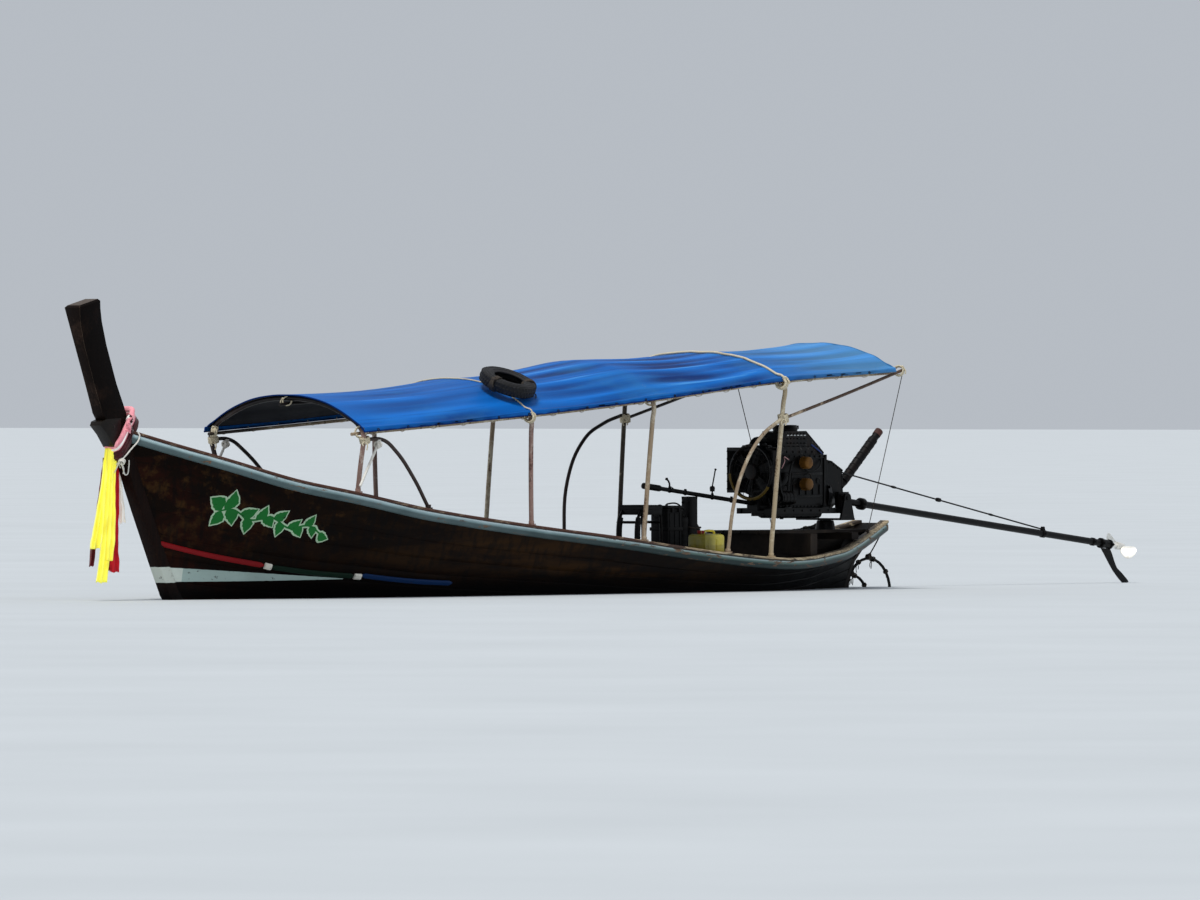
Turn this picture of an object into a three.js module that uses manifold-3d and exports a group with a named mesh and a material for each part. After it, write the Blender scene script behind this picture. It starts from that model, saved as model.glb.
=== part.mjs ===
// Longtail boat, afloat, with its tail raised clear of the water.
// Millimetres. +X points to the bow, +Y to port, +Z up. The origin is amidships, on the
// centreline, at the waterline.
import * as THREE from 'three';
import { mergeVertices } from 'three/addons/utils/BufferGeometryUtils.js';
import Module from 'manifold-3d';

const wasm = await Module();
wasm.setup();

// Fit between pieces that touch.
const gap = 0.3;

// Hull form. Each row is one station, placed by its x along the rail.
// Columns: x, half breadth at the rail, height of the rail, height of the keel line, and the
// power of the section's curve (1 is a straight V, smaller is rounder).
const hullStations = [
  [-5030, 165, 572, -200, 0.70],
  [-4680, 290, 476, -222, 0.62],
  [-4300, 440, 390, -236, 0.56],
  [-3900, 595, 322, -246, 0.50],
  [-2950, 850, 264, -260, 0.42],
  [-1870, 905, 330, -272, 0.36],
  [-440, 915, 480, -280, 0.34],
  [540, 890, 576, -280, 0.34],
  [1800, 838, 724, -276, 0.38],
  [2600, 765, 864, -268, 0.45],
  [3240, 630, 980, -258, 0.54],
  [3830, 440, 1142, -244, 0.66],
  [4330, 205, 1290, -220, 0.80],
  [4630, 60, 1385, -200, 0.90],
];
// Columns: height as a share of keel to rail, x of the planks' forward ends there.
const stemLine = [
  [0, 3100], [0.03, 3480], [0.07, 3760], [0.125, 3960], [0.25, 4085], [0.525, 4300], [0.76, 4475], [1, 4630],
];
// Columns: the same share, x of the planks' after ends.
const sternLine = [[0, -4540], [0.3, -4565], [0.55, -4620], [0.8, -4790], [1, -5030]];
const plankThickness = 32;
const keelHalfWidth = 30;
const keelDrop = 70;
const keelRise = 46;
const stemHalfWidth = 60;
const stemDepth = 105;
// Columns: name, lower and upper edge as a share of the girth.
const strakes = [['bottom', 0, 0.6], ['side', 0.6, 1]];

// Rail along the outside and the cap on top of it.
const rubRail = { width: 38, depth: 78 };
const railCap = { inboard: 62, outboard: 42, thickness: 24 };

// Upper stem post, narrow at the foot and flared at the head.
// Columns: height, x of its after face, fore and aft depth, half width.
const postUpper = [
  [1560, 4655, 285, 56], [1790, 4762, 268, 52], [2110, 4886, 266, 55], [2300, 4954, 258, 68],
  [2410, 4990, 246, 86],
];
// Sloping end of the post: how far its after and fore edges stand above the last row, and its bevel.
const postEnd = { after: 78, fore: 20, bevel: 16 };
// Block on the stem's fore face, pointed at its upper fore edge. Columns: x, height.
const noseOutline = [
  [4720, 1262], [4800, 1268], [4880, 1370], [4962, 1446], [4948, 1478], [4890, 1498], [4720, 1506],
];
const noseHalfWidth = 62;

// Canopy frame. Columns: x, height at the eaves, height at the crown, half width at the eaves,
// x of the feet on the rail.
const hoops = [
  [2630, 1404, 1672, 872, 2580],
  [549, 1545, 1812, 896, 530],
  [-1020, 1675, 1972, 912, -900],
  [-2762, 1840, 2056, 912, -2622],
];
const canopyEnds = { fore: [2740, 1396, 1664, 872], aft: [-4400, 1930, 2150, 900] };
const hoopRadius = 17;
const poleRadius = 14;
const tarp = { thickness: 7, clear: 11, flap: 44, archPower: 2.3, aft: -4240 };

// Engine, tail and tiller. The pivot is the steering pin; the trunnions stand above it.
const pivot = { x: -4400, trunnion: 795 };
const tail = { end: -8440, height: 770, at: -4620, slope: 0.1104, radius: 30 };
const prop = { x: -8585, radius: 188, hubRadius: 36, hubLength: 120, blades: 2, rest: 2.0 };
const deck = { fore: -3240, aft: -4860, top: 518, board: 26 };
const tiller = { root: -3418, tip: -1940, height: 770, at: -3250, slope: 0.1108, radius: 19 };
const fork = { inner: 238, thickness: 22, hole: 20.5, pin: 18 };

const paints = {
  planking: [0x3a1c10, 0.35, 0.0],
  keelwood: [0x24140d, 0.6, 0.0],
  stem: [0x4a2a1a, 0.45, 0.0],
  rail: [0xbfe0dc, 0.5, 0.0],
  cap: [0x5a3a28, 0.5, 0.0],
  timber: [0x6d5138, 0.75, 0.0],
  deckwood: [0x4c3a2b, 0.75, 0.0],
  tube: [0x8a7468, 0.55, 0.3],
  cloth: [0x1b6fd0, 0.6, 0.0],
  rubber: [0x141414, 0.8, 0.0],
  iron: [0x23252a, 0.55, 0.6],
  steel: [0x6c7075, 0.4, 0.8],
  filter: [0xd8982a, 0.45, 0.1],
  canYellow: [0xd9c42c, 0.45, 0.0],
  blade: [0xe9ecec, 0.35, 0.6],
  red: [0x8f1a24, 0.7, 0.0],
  yellow: [0xf2e32c, 0.7, 0.0],
  white: [0xe9e4da, 0.8, 0.0],
};

const boat = new THREE.Group();
const V = (x, y, z) => new THREE.Vector3(x, y, z);

// Value of one column at a place along a table's first column, on a smooth curve through its rows.
function smoothAt(rows, place, column) {
  const last = rows.length - 2;
  let k = 0;
  while (k < last && rows[k + 1][0] < place) k += 1;
  const slope = (i) => {
    const a = rows[Math.max(i - 1, 0)];
    const b = rows[Math.min(i + 1, rows.length - 1)];
    return (b[column] - a[column]) / (b[0] - a[0]);
  };
  const [low, high] = [rows[k], rows[k + 1]];
  const span = high[0] - low[0];
  const t = (place - low[0]) / span;
  const h = t * t * (3 - 2 * t);
  const bend = t * (1 - t) * ((1 - t) * slope(k) - t * slope(k + 1)) * span;
  return low[column] * (1 - h) + high[column] * h + bend;
}

// Turns a geometry into a closed body: only its places, merged, with the faces pointing out.
function closed(geometry) {
  const bare = new THREE.BufferGeometry();
  bare.setAttribute('position', geometry.getAttribute('position'));
  if (geometry.index) bare.setIndex(geometry.index);
  const merged = mergeVertices(bare, 1e-3);
  const at = merged.getAttribute('position');
  const order = Array.from(merged.index.array);
  const [a, b, c] = [V(0, 0, 0), V(0, 0, 0), V(0, 0, 0)];
  let volume = 0;
  for (let i = 0; i < order.length; i += 3) {
    a.fromBufferAttribute(at, order[i]);
    b.fromBufferAttribute(at, order[i + 1]);
    c.fromBufferAttribute(at, order[i + 2]);
    volume += a.dot(b.cross(c));
  }
  if (volume < 0) {
    for (let i = 0; i < order.length; i += 3) [order[i], order[i + 1]] = [order[i + 1], order[i]];
    merged.setIndex(order);
  }
  return merged;
}

function toSolid(geometry) {
  const body = closed(geometry);
  return new wasm.Manifold(new wasm.Mesh({
    numProp: 3,
    vertProperties: new Float32Array(body.getAttribute('position').array),
    triVerts: new Uint32Array(body.index.array),
  }));
}

function fromSolid(solid) {
  const mesh = solid.getMesh();
  const geometry = new THREE.BufferGeometry();
  geometry.setAttribute('position', new THREE.BufferAttribute(mesh.vertProperties, 3));
  geometry.setIndex(new THREE.BufferAttribute(mesh.triVerts, 1));
  return geometry;
}

const join = (...parts) => fromSolid(parts.map(toSolid).reduce((sum, part) => sum.add(part)));
const cut = (whole, ...tools) => (
  fromSolid(tools.map(toSolid).reduce((rest, tool) => rest.subtract(tool), toSolid(whole))));

function add(name, paint, geometry) {
  const body = closed(geometry);
  body.computeVertexNormals();
  const [color, roughness, metalness] = paints[paint];
  const material = new THREE.MeshStandardMaterial({ color, roughness, metalness, flatShading: true });
  const mesh = new THREE.Mesh(body, material);
  mesh.name = name;
  boat.add(mesh);
}

// Closed solid through rings of the same number of points. Its ends are capped by joining
// each point to the one that mirrors it in the ring.
function loft(rings) {
  const count = rings[0].length;
  const index = [];
  for (let i = 0; i + 1 < rings.length; i += 1) {
    for (let j = 0; j < count; j += 1) {
      const a = i * count + j;
      const b = i * count + ((j + 1) % count);
      index.push(a, b, b + count, a, b + count, a + count);
    }
  }
  const capAt = (start, flip) => {
    for (let j = 0; j + 1 < count - 1 - j; j += 1) {
      const [a, b, c, d] = [start + j, start + j + 1, start + count - 2 - j, start + count - 1 - j];
      const faces = b === c ? [[a, b, d]] : [[a, b, c], [a, c, d]];
      for (const face of faces) index.push(...(flip ? face.slice().reverse() : face));
    }
  };
  capAt(0, true);
  capAt((rings.length - 1) * count, false);
  const geometry = new THREE.BufferGeometry();
  const places = new Float32Array(rings.flat().flatMap((p) => [p.x, p.y, p.z]));
  geometry.setAttribute('position', new THREE.BufferAttribute(places, 3));
  geometry.setIndex(index);
  return geometry;
}

function box(x0, x1, y0, y1, z0, z1) {
  const geometry = new THREE.BoxGeometry(x1 - x0, y1 - y0, z1 - z0);
  return geometry.translate((x0 + x1) / 2, (y0 + y1) / 2, (z0 + z1) / 2);
}

// Round bar along a curve through points.
function rod(points, radius, steps = 12, sides = 10) {
  const outline = new THREE.Shape().absarc(0, 0, radius, 0, Math.PI * 2);
  const path = points.length === 2
    ? new THREE.LineCurve3(points[0], points[1])
    : new THREE.CatmullRomCurve3(points, false, 'centripetal');
  const depth = points.length === 2 ? 1 : steps;
  return new THREE.ExtrudeGeometry(outline, { steps: depth, curveSegments: sides / 2, extrudePath: path });
}

// Cylinder or cone between two points.
function barrel(from, to, radiusFrom, radiusTo = radiusFrom, sides = 20) {
  const along = to.clone().sub(from);
  const geometry = new THREE.CylinderGeometry(radiusTo, radiusFrom, along.length(), sides);
  const turn = new THREE.Quaternion().setFromUnitVectors(V(0, 1, 0), along.clone().normalize());
  geometry.applyQuaternion(turn);
  return geometry.translate((from.x + to.x) / 2, (from.y + to.y) / 2, (from.z + to.z) / 2);
}

// Flat outline in x and z, as thick as the given width about the centreline.
function profile(points, halfWidth) {
  const shape = new THREE.Shape(points.map(([x, z]) => new THREE.Vector2(x, z)));
  const geometry = new THREE.ExtrudeGeometry(shape, { depth: halfWidth * 2, bevelEnabled: false });
  return geometry.rotateX(Math.PI / 2).translate(0, halfWidth, 0);
}

const mirrored = (geometry) => geometry.clone().scale(1, -1, 1);
const boatSides = [['port', 1], ['starboard', -1]];

// Hull surface: a point at a station along the rail and a share of the height, set in by the
// wall's thickness, and kept off the centreline.
const firstStation = hullStations[0][0];
const lastStation = hullStations[hullStations.length - 1][0];

function placeAlong(station, share) {
  const along = (station - firstStation) / (lastStation - firstStation);
  const aft = smoothAt(sternLine, share, 1);
  return aft + (smoothAt(stemLine, share, 1) - aft) * along;
}

function sectionPoint(station, share) {
  const [breadth, rail, keel, power] = [1, 2, 3, 4].map((column) => smoothAt(hullStations, station, column));
  const y = keelHalfWidth + (breadth - keelHalfWidth) * share ** power;
  return V(placeAlong(station, share), y, keel + (rail - keel) * share);
}

function hullPoint(station, share, inset = 0, centreGap = keelHalfWidth) {
  const point = sectionPoint(station, share);
  const step = 0.004;
  const low = sectionPoint(station, Math.max(share - step, 0));
  const high = sectionPoint(station, Math.min(share + step, 1));
  const run = Math.hypot(high.y - low.y, high.z - low.z);
  const rail = smoothAt(hullStations, station, 2);
  const keel = smoothAt(hullStations, station, 3);
  point.z = Math.min(point.z + inset * (high.y - low.y) / run, rail);
  point.y = Math.max(point.y - inset * (high.z - low.z) / run, centreGap);
  point.x = placeAlong(station, (point.z - keel) / (rail - keel));
  return point;
}

// The same for a section square across the boat at a place.
function crossPoint(x, share, inset, centreGap = keelHalfWidth) {
  const at = (part) => {
    const aft = smoothAt(sternLine, part, 1);
    const along = (x - aft) / (smoothAt(stemLine, part, 1) - aft);
    return sectionPoint(firstStation + (lastStation - firstStation) * along, part);
  };
  const step = 0.004;
  const [point, low, high] = [at(share), at(Math.max(share - step, 0)), at(Math.min(share + step, 1))];
  const run = Math.hypot(high.y - low.y, high.z - low.z);
  point.z += inset * (high.y - low.y) / run;
  point.y = Math.max(point.y - inset * (high.z - low.z) / run, centreGap);
  return point;
}

// Half breadth inside the planking at a place and a height.
function insideHalf(x, z, clearance = 6) {
  let share = 0.5;
  let station = x;
  for (let i = 0; i < 40; i += 1) {
    const aft = smoothAt(sternLine, share, 1);
    const fore = smoothAt(stemLine, share, 1);
    station = firstStation + (lastStation - firstStation) * (x - aft) / (fore - aft);
    const keel = smoothAt(hullStations, station, 3);
    const rail = smoothAt(hullStations, station, 2);
    share = Math.min(Math.max((z - keel) / (rail - keel), 0.001), 1);
  }
  return hullPoint(station, share, plankThickness + clearance).y;
}

const stationsAlong = (from, to, count) => (
  Array.from({ length: count + 1 }, (_, i) => from + (to - from) * i / count));
const hullSteps = stationsAlong(firstStation, lastStation, 26);

// The rail runs straight from one hull step to the next.
function railAt(x) {
  const pitch = hullSteps[1] - hullSteps[0];
  const k = Math.min(Math.max(Math.floor((x - firstStation) / pitch), 0), hullSteps.length - 2);
  const t = (x - hullSteps[k]) / pitch;
  const [half, top] = [1, 2].map((column) => {
    const [aft, fore] = [hullSteps[k], hullSteps[k + 1]].map((step) => smoothAt(hullStations, step, column));
    return aft * (1 - t) + fore * t;
  });
  return { half, top };
}
const capTop = (x) => Math.max(railAt(x - 24).top, railAt(x + 24).top) + gap + railCap.thickness;

// Planking, in strakes that meet edge to edge.
function buildPlanking() {
  const seam = 0.0036;
  for (const [strake, lower, upper] of strakes) {
    const shares = stationsAlong(lower + seam, upper, 4).map((girth) => girth * girth);
    const rings = hullSteps.map((station) => {
      const outer = shares.map((share) => hullPoint(station, share));
      const inner = shares.map((share) => hullPoint(station, share, plankThickness)).reverse();
      return [...outer, ...inner];
    });
    const plank = cut(loft(rings), stemSolid(gap), transomBlade());
    add(`plank_${strake}_port`, 'planking', plank);
    add(`plank_${strake}_starboard`, 'planking', mirrored(plank));
  }
}

// Keel bar under the planking and between its lowest edges.
function buildKeel() {
  const half = keelHalfWidth - gap;
  const rings = hullSteps.map((station) => {
    const at = sectionPoint(station, 0);
    return [V(at.x, -half, at.z - keelDrop), V(at.x, half, at.z - keelDrop),
      V(at.x, half, at.z + keelRise), V(at.x, -half, at.z + keelRise)];
  });
  add('keel', 'keelwood', loft(rings));
}

// Stem: one profile from the forefoot to the head, with a flared head block on top. Grown by a
// fit, it is also the tool that trims what meets it.
function stemSolid(grow = 0) {
  const shares = stationsAlong(0, 1, 14).map((t) => t * t);
  const line = shares.map((share) => sectionPoint(lastStation, share));
  const after = [];
  const fore = [];
  line.forEach((point, i) => {
    const next = line[Math.min(i + 1, line.length - 1)];
    const last = line[Math.max(i - 1, 0)];
    const run = Math.hypot(next.x - last.x, next.z - last.z);
    const [nx, nz] = [(next.z - last.z) / run, -(next.x - last.x) / run];
    after.push([point.x + nx * (gap - grow), point.z + nz * (gap - grow)]);
    fore.push([point.x + nx * (stemDepth + grow), point.z + nz * (stemDepth + grow)]);
  });
  fore.pop();
  const [z, x, depth] = postUpper[0];
  const outline = [...after, [x - grow, z], [x + depth + grow, z], ...fore.reverse()];
  return profile(outline, stemHalfWidth + grow);
}

function postSolid(grow = 0) {
  const ring = (x, depth, half, after, fore) => [
    V(x - grow, -half - grow, after), V(x - grow, half + grow, after),
    V(x + depth + grow, half + grow, fore), V(x + depth + grow, -half - grow, fore)];
  const rows = postUpper.map(([z, x, depth, half]) => ring(x, depth, half, z, z));
  const [foot] = postUpper;
  const [z, x, depth, half] = postUpper[postUpper.length - 1];
  const { after, fore, bevel } = postEnd;
  return loft([
    ring(foot[1] - 20, foot[2] - 40, foot[3], foot[0] - 90, foot[0] - 90), ...rows,
    ring(x + 2, depth, half, z + after - bevel, z + fore - bevel),
    ring(x + bevel, depth - bevel * 2, half - bevel, z + after, z + fore + 4)]);
}

function buildStem() {
  add('stem_post', 'stem', join(stemSolid(), postSolid()));
  add('nose_block', 'keelwood', cut(profile(noseOutline, noseHalfWidth), stemSolid(gap), postSolid(gap)));
}

// Transom across the planks' after ends, and the sternpost behind it. The blade trims the planks
// to the transom's forward face.
const transomSeam = 2;
const sternRows = stationsAlong(0, 1, 8).map((girth) => sectionPoint(firstStation, girth * girth));

function transomBlade() {
  const x = (p) => p.x - transomSeam + gap;
  const [first, last] = [sternRows[0], sternRows[sternRows.length - 1]];
  const beyond = { aft: -5600, up: 200, half: 1000 };
  const rows = sternRows.map((p) => [x(p), p.z]);
  rows.unshift([x(first), first.z - beyond.up]);
  rows.push([x(last) - 80, last.z + beyond.up]);
  return profile([...rows, [beyond.aft, last.z + beyond.up], [beyond.aft, first.z - beyond.up]], beyond.half);
}

function buildStern() {
  const thick = 38;
  const fore = (p) => p.x - transomSeam;
  add('transom', 'planking', loft(sternRows.map((p) => [V(fore(p), -p.y, p.z), V(fore(p), p.y, p.z),
    V(fore(p) - thick, p.y, p.z), V(fore(p) - thick, -p.y, p.z)])));
  const reach = thick + transomSeam + gap * 2;
  const low = sternRows[0];
  const high = sternRows[6];
  add('sternpost', 'keelwood', profile([[low.x - reach, low.z - keelDrop], [high.x - reach, high.z],
    [high.x - reach - 62, high.z], [low.x - reach - 62, low.z - keelDrop]], keelHalfWidth));
}

// Pale rubbing rail outside the planks, and the brown cap over both.
function buildRails() {
  const rail = hullSteps.map((station) => {
    const { half, top } = railAt(station);
    const [inner, outer, low] = [half + gap, half + rubRail.width, top - rubRail.depth];
    const [chamfer, round] = [12, 6];
    return [V(station, inner, low), V(station, outer, low + chamfer),
      V(station, outer, top - round), V(station, inner, top)];
  });
  const cap = hullSteps.map((station) => {
    const { half, top } = railAt(station);
    const inner = Math.max(half - railCap.inboard, 6);
    const z = top + gap;
    return [V(station, inner, z), V(station, half + railCap.outboard, z),
      V(station, half + railCap.outboard, z + railCap.thickness), V(station, inner, z + railCap.thickness)];
  });
  for (const [side, sign] of boatSides) {
    add(`rub_rail_${side}`, 'rail', sign > 0 ? loft(rail) : mirrored(loft(rail)));
    add(`rail_cap_${side}`, 'cap', sign > 0 ? loft(cap) : mirrored(loft(cap)));
  }
}

// Ribs, joined to the keelson that carries them. The keelson is in two lengths that butt between ribs.
const ribs = {
  firstStep: 3, lastStep: 21, width: 42, depth: 34, clear: 5, keelsonHalf: 42, keelsonRise: 66, buttStep: 13,
};
// Edges of the ribs' straight stretches, as a share of the girth.
const ribGirths = [0, 0.15, 0.3, 0.45, 0.6, 0.7, 0.8, 0.88, 0.94];

function buildFrames() {
  const { width, depth } = ribs;
  const clear = plankThickness + ribs.clear;
  const shares = ribGirths.map((girth) => girth * girth);
  const starboard = shares.slice(1).reverse().map((share) => [share, -1]);
  const path = [...starboard, ...shares.map((share) => [share, 1])];
  const ribAt = (station) => {
    const rings = path.map(([share, side]) => {
      const corner = (along, inset) => {
        const at = crossPoint(station + along, share, inset, share === 0 ? 0 : keelHalfWidth + 4);
        at.z = Math.max(at.z, crossPoint(station + along, 0, 0).z + keelRise + 4 + inset - clear);
        if (share === 0) at.y = 0;
        return V(at.x, side * at.y, at.z);
      };
      return [corner(-width / 2, clear), corner(width / 2, clear),
        corner(width / 2, clear + depth), corner(-width / 2, clear + depth)];
    });
    return loft(rings);
  };
  const half = ribs.keelsonHalf;
  const keelsonBetween = (from, to, trim) => loft(hullSteps.slice(from, to + 1).map((station, i) => {
    const at = sectionPoint(station, 0);
    const x = at.x + (i === 0 ? trim : 0);
    const low = at.z + keelRise + gap + 4;
    const high = low + ribs.keelsonRise;
    return [V(x, -half, low), V(x, half, low), V(x, half, high), V(x, -half, high)];
  }));
  const butt = sectionPoint(hullSteps[ribs.buttStep], 0).x;
  const places = hullSteps.slice(ribs.firstStep, ribs.lastStep + 1).filter((_, i) => i % 2 === 0);
  const ahead = places.filter((x) => x > butt).map(ribAt);
  const behind = places.filter((x) => x < butt).map(ribAt);
  const foreKeelson = keelsonBetween(ribs.buttStep, hullSteps.length - 1, gap);
  const aftKeelson = keelsonBetween(2, ribs.buttStep, 0);
  add('ribs_keelson_fore', 'timber', join(foreKeelson, ...ahead));
  add('ribs_keelson_aft', 'timber', join(aftKeelson, ...behind));
}

// Stringers inside the ribs, and the thwarts that lie on them.
const riser = { drop: 235, depth: 60, thickness: 24 };
// Columns: x, width.
const thwarts = [[3050, 240], [1657, 240], [171, 240], [-1315, 220]];
const thwartThickness = 34;

function buildInside() {
  const inset = plankThickness + ribs.clear + ribs.depth + 4;
  const rings = hullSteps.slice(6, 24).map((station) => {
    const keel = smoothAt(hullStations, station, 3);
    const top = smoothAt(hullStations, station, 2);
    const share = (top - riser.drop - keel) / (top - keel);
    const lower = share - riser.depth / (top - keel);
    const outer = [hullPoint(station, lower, inset), hullPoint(station, share, inset)];
    const inner = [share, lower].map((part) => hullPoint(station, part, inset + riser.thickness));
    return [...outer, ...inner];
  });
  const boards = thwarts.map(([x, width]) => {
    const low = railAt(x).top - riser.drop - 8;
    const ends = [x - width / 2, x + width / 2].map((end) => insideHalf(end, low, 22));
    return loft([0, 1].map((k) => {
      const end = x + (k - 0.5) * width;
      const top = low + thwartThickness;
      return [V(end, -ends[k], low), V(end, ends[k], low), V(end, ends[k], top), V(end, -ends[k], top)];
    }));
  });
  add('thwarts_risers', 'deckwood', join(loft(rings), mirrored(loft(rings)), ...boards));
}

// Floorboards, joined by the bearers under them.
const floor = {
  aft: -1480, fore: 1380, top: -96,
  board: 22, boardWidth: 104, gapWidth: 14, boards: 5,
  bearer: 30, bearers: 5,
};

function buildFloor() {
  const { aft, fore, top, boardWidth } = floor;
  const pitch = boardWidth + floor.gapWidth;
  const side = (floor.boards - 1) / 2;
  const under = top - floor.board;
  const boards = stationsAlong(-side, side, floor.boards - 1).map((k) => (
    box(aft, fore, k * pitch - boardWidth / 2, k * pitch + boardWidth / 2, under, top)));
  const half = pitch * side + 30;
  const bearers = stationsAlong(aft + 200, fore - 200, floor.bearers - 1).map((x) => (
    box(x - 28, x + 28, -half, half, under - floor.bearer, under + 2)));
  add('floorboards', 'deckwood', join(...boards, ...bearers));
}

// A deck that fits between the planks: between two places, with its top at a height or below the rail.
function fittedDeck({ aft, fore, thickness }, topAt, margin) {
  return loft(stationsAlong(aft, fore, 8).map((x) => {
    const top = topAt(x);
    const low = top - thickness;
    const half = Math.min(insideHalf(x, top, margin), insideHalf(x, low, margin));
    return [V(x, -half, low), V(x, half, low), V(x, half, top), V(x, -half, top)];
  }));
}

const helmDeck = { aft: -2960, fore: -1560, top: 292, thickness: 24 };
const foredeck = { aft: 3600, fore: 4440, drop: 42, thickness: 24 };

function buildDecks() {
  add('helm_deck', 'deckwood', fittedDeck(helmDeck, () => helmDeck.top, 76));
  add('foredeck', 'deckwood', fittedDeck(foredeck, (x) => railAt(x).top - foredeck.drop, 18));
}

// Platform over the stern that carries the engine: two beams on the rail caps and the boards on them.
function buildEngineDeck() {
  // Columns: x, half length.
  const beams = [[-3360, 740], [-4330, 400]];
  const under = deck.top - deck.board;
  const cross = beams.map(([x, half]) => {
    const low = Math.max(capTop(x - 26), capTop(x + 26)) + gap;
    return box(x - 45, x + 45, -half, half, low, under + 4);
  });
  const boards = stationsAlong(0, 3, 3).map((k) => {
    const inner = k * 96 - 186;
    const rings = [deck.fore, deck.aft].map((x, end) => {
      const squeeze = end === 0 ? 2.1 : 0.6;
      const [y0, y1] = [inner * squeeze, (inner + 88) * squeeze];
      return [V(x, y0, under), V(x, y1, under), V(x, y1, deck.top), V(x, y0, deck.top)];
    });
    return loft(rings);
  });
  const battens = [-3640, -4100, -4820].map((x) => box(x - 30, x + 30, -118, 118, under - 28, under + 4));
  add('engine_deck', 'timber', join(...boards, ...battens, ...cross));
  const seat = barrel(V(pivot.x, 0, deck.top + gap), V(pivot.x, 0, 596), 92, 74);
  add('pivot_seat', 'iron', seat);
}

// Canopy frame: the arch's height across the boat, and the hoops, braces and poles.
const archTable = [canopyEnds.aft, ...hoops.slice().reverse(), canopyEnds.fore];

function archAt(x, y, lift = 0) {
  const [, eave, crown, half] = [0, 1, 2, 3].map((column) => (column ? smoothAt(archTable, x, column) : x));
  const across = Math.min(Math.abs(y) / half, 1);
  return V(x, y, eave + (crown - eave) * (1 - across ** tarp.archPower) + lift);
}

function buildHoops() {
  hoops.forEach(([x, eave, , half, footX], i) => {
    const footHalf = railAt(footX).half - 10;
    const base = capTop(footX) + 3.5;
    const rise = eave - 70 - base;
    const leg = (side) => [0, 0.03, 0.5, 0.9, 1].map((share) => {
      const lean = Math.max(share - 0.03, 0) / 0.97;
      return V(footX + (x - footX) * lean, side * (footHalf + (half - footHalf) * lean), base + rise * share);
    });
    const arch = stationsAlong(0.93, -0.93, 12).map((k) => archAt(x, k * half));
    const path = [...leg(1), ...arch, ...leg(-1).reverse()];
    add(`hoop_${i + 1}`, 'tube', rod(path, hoopRadius, 44, 8));
  });
}

// Columns: name, hoop, side, then the places along the brace: how far forward of the hoop's top, height
// (0 for the rail cap), and how far out as a share of the way from the rail to the eaves.
const foreBrace = [[-38, 1330, 0.97], [-240, 1322, 1], [-390, 1240, 0.9], [-650, 1010, 0.4], [-850, 0, 0]];
const braces = [
  ['brace_fore_port', 0, 1, foreBrace],
  ['brace_fore_starboard', 0, -1, foreBrace],
  ['brace_aft_port', 3, 1, [[60, 1490, 1], [320, 1340, 1], [560, 1050, 0.9], [670, 760, 0.5], [735, 0, 0]]],
  ['brace_aft_starboard', 3, -1,
    [[60, 1526, 1], [300, 1455, 1], [560, 1315, 0.9], [790, 960, 0.5], [850, 0, 0]]],
];

function buildBraces() {
  for (const [name, hoop, side, places] of braces) {
    const [hoopX, , , half] = hoops[hoop];
    const path = places.map(([dx, z, out]) => {
      const x = hoopX + dx;
      const foot = railAt(x).half - 12;
      return V(x, side * (foot + (half - foot) * out), z || capTop(x) + 13);
    });
    add(name, 'tube', rod(path, poleRadius - 1, 18, 8));
  }
}

function buildPoles() {
  const inboard = hoopRadius + poleRadius + 16;
  const places = [canopyEnds.fore[0] - 20, ...hoops.map(([x]) => x), canopyEnds.aft[0] + 20];
  const pole = rod(places.map((x) => {
    const [eave, half] = [1, 3].map((column) => smoothAt(archTable, x, column));
    return V(x, half - inboard - 14, eave - 26);
  }), poleRadius, 20, 8);
  add('eave_pole_port', 'tube', pole);
  add('eave_pole_starboard', 'tube', mirrored(pole));
  const ridge = places.map((x) => archAt(x, 0, -inboard));
  add('ridge_pole', 'tube', rod(ridge, poleRadius, 20, 8));
  const [lastX, , , lastHalf, lastFoot] = hoops[hoops.length - 1];
  const lean = 0.72;
  const start = V(lastFoot + (lastX - lastFoot) * lean - hoopRadius - poleRadius - 8, lastHalf - 8, 1500);
  const end = V(canopyEnds.aft[0] - 10, canopyEnds.aft[3] - 8, canopyEnds.aft[1] - 2);
  const strut = rod([start, end], poleRadius, 1, 8);
  add('aft_strut_port', 'tube', strut);
  add('aft_strut_starboard', 'tube', mirrored(strut));
}

// Tarpaulin over the hoops, one sheet with a short flap below each eave.
function buildTarp() {
  const low = hoopRadius + tarp.clear;
  const bays = [tarp.aft, ...archTable.slice(1).map(([x]) => x)];
  const stations = bays.slice(1).flatMap((x, i) => stationsAlong(bays[i], x, 3).slice(0, -1));
  stations.push(canopyEnds.fore[0]);
  const across = stationsAlong(-1, 1, 18);
  const rings = stations.map((x) => {
    const half = smoothAt(archTable, x, 3) + low + 8;
    const skirt = tarp.thickness + 2;
    const hem = archAt(x, half, low).z - tarp.flap;
    const flap = (side, out) => V(x, side * (half + 6 + out), hem);
    const upper = across.map((k) => archAt(x, k * half, low + tarp.thickness));
    upper[0].y -= skirt + 4;
    upper[upper.length - 1].y += skirt + 4;
    const under = across.map((k) => archAt(x, k * half, low)).reverse();
    return [flap(-1, skirt), ...upper, flap(1, skirt), flap(1, 0), ...under, flap(-1, 0)];
  });
  add('canopy_tarp', 'cloth', loft(rings));
}

// Worn tyre on the tarpaulin, over the second hoop, where it holds the cloth down.
const tyre = { radius: 190, tube: 60, x: 560, y: 640 };

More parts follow.
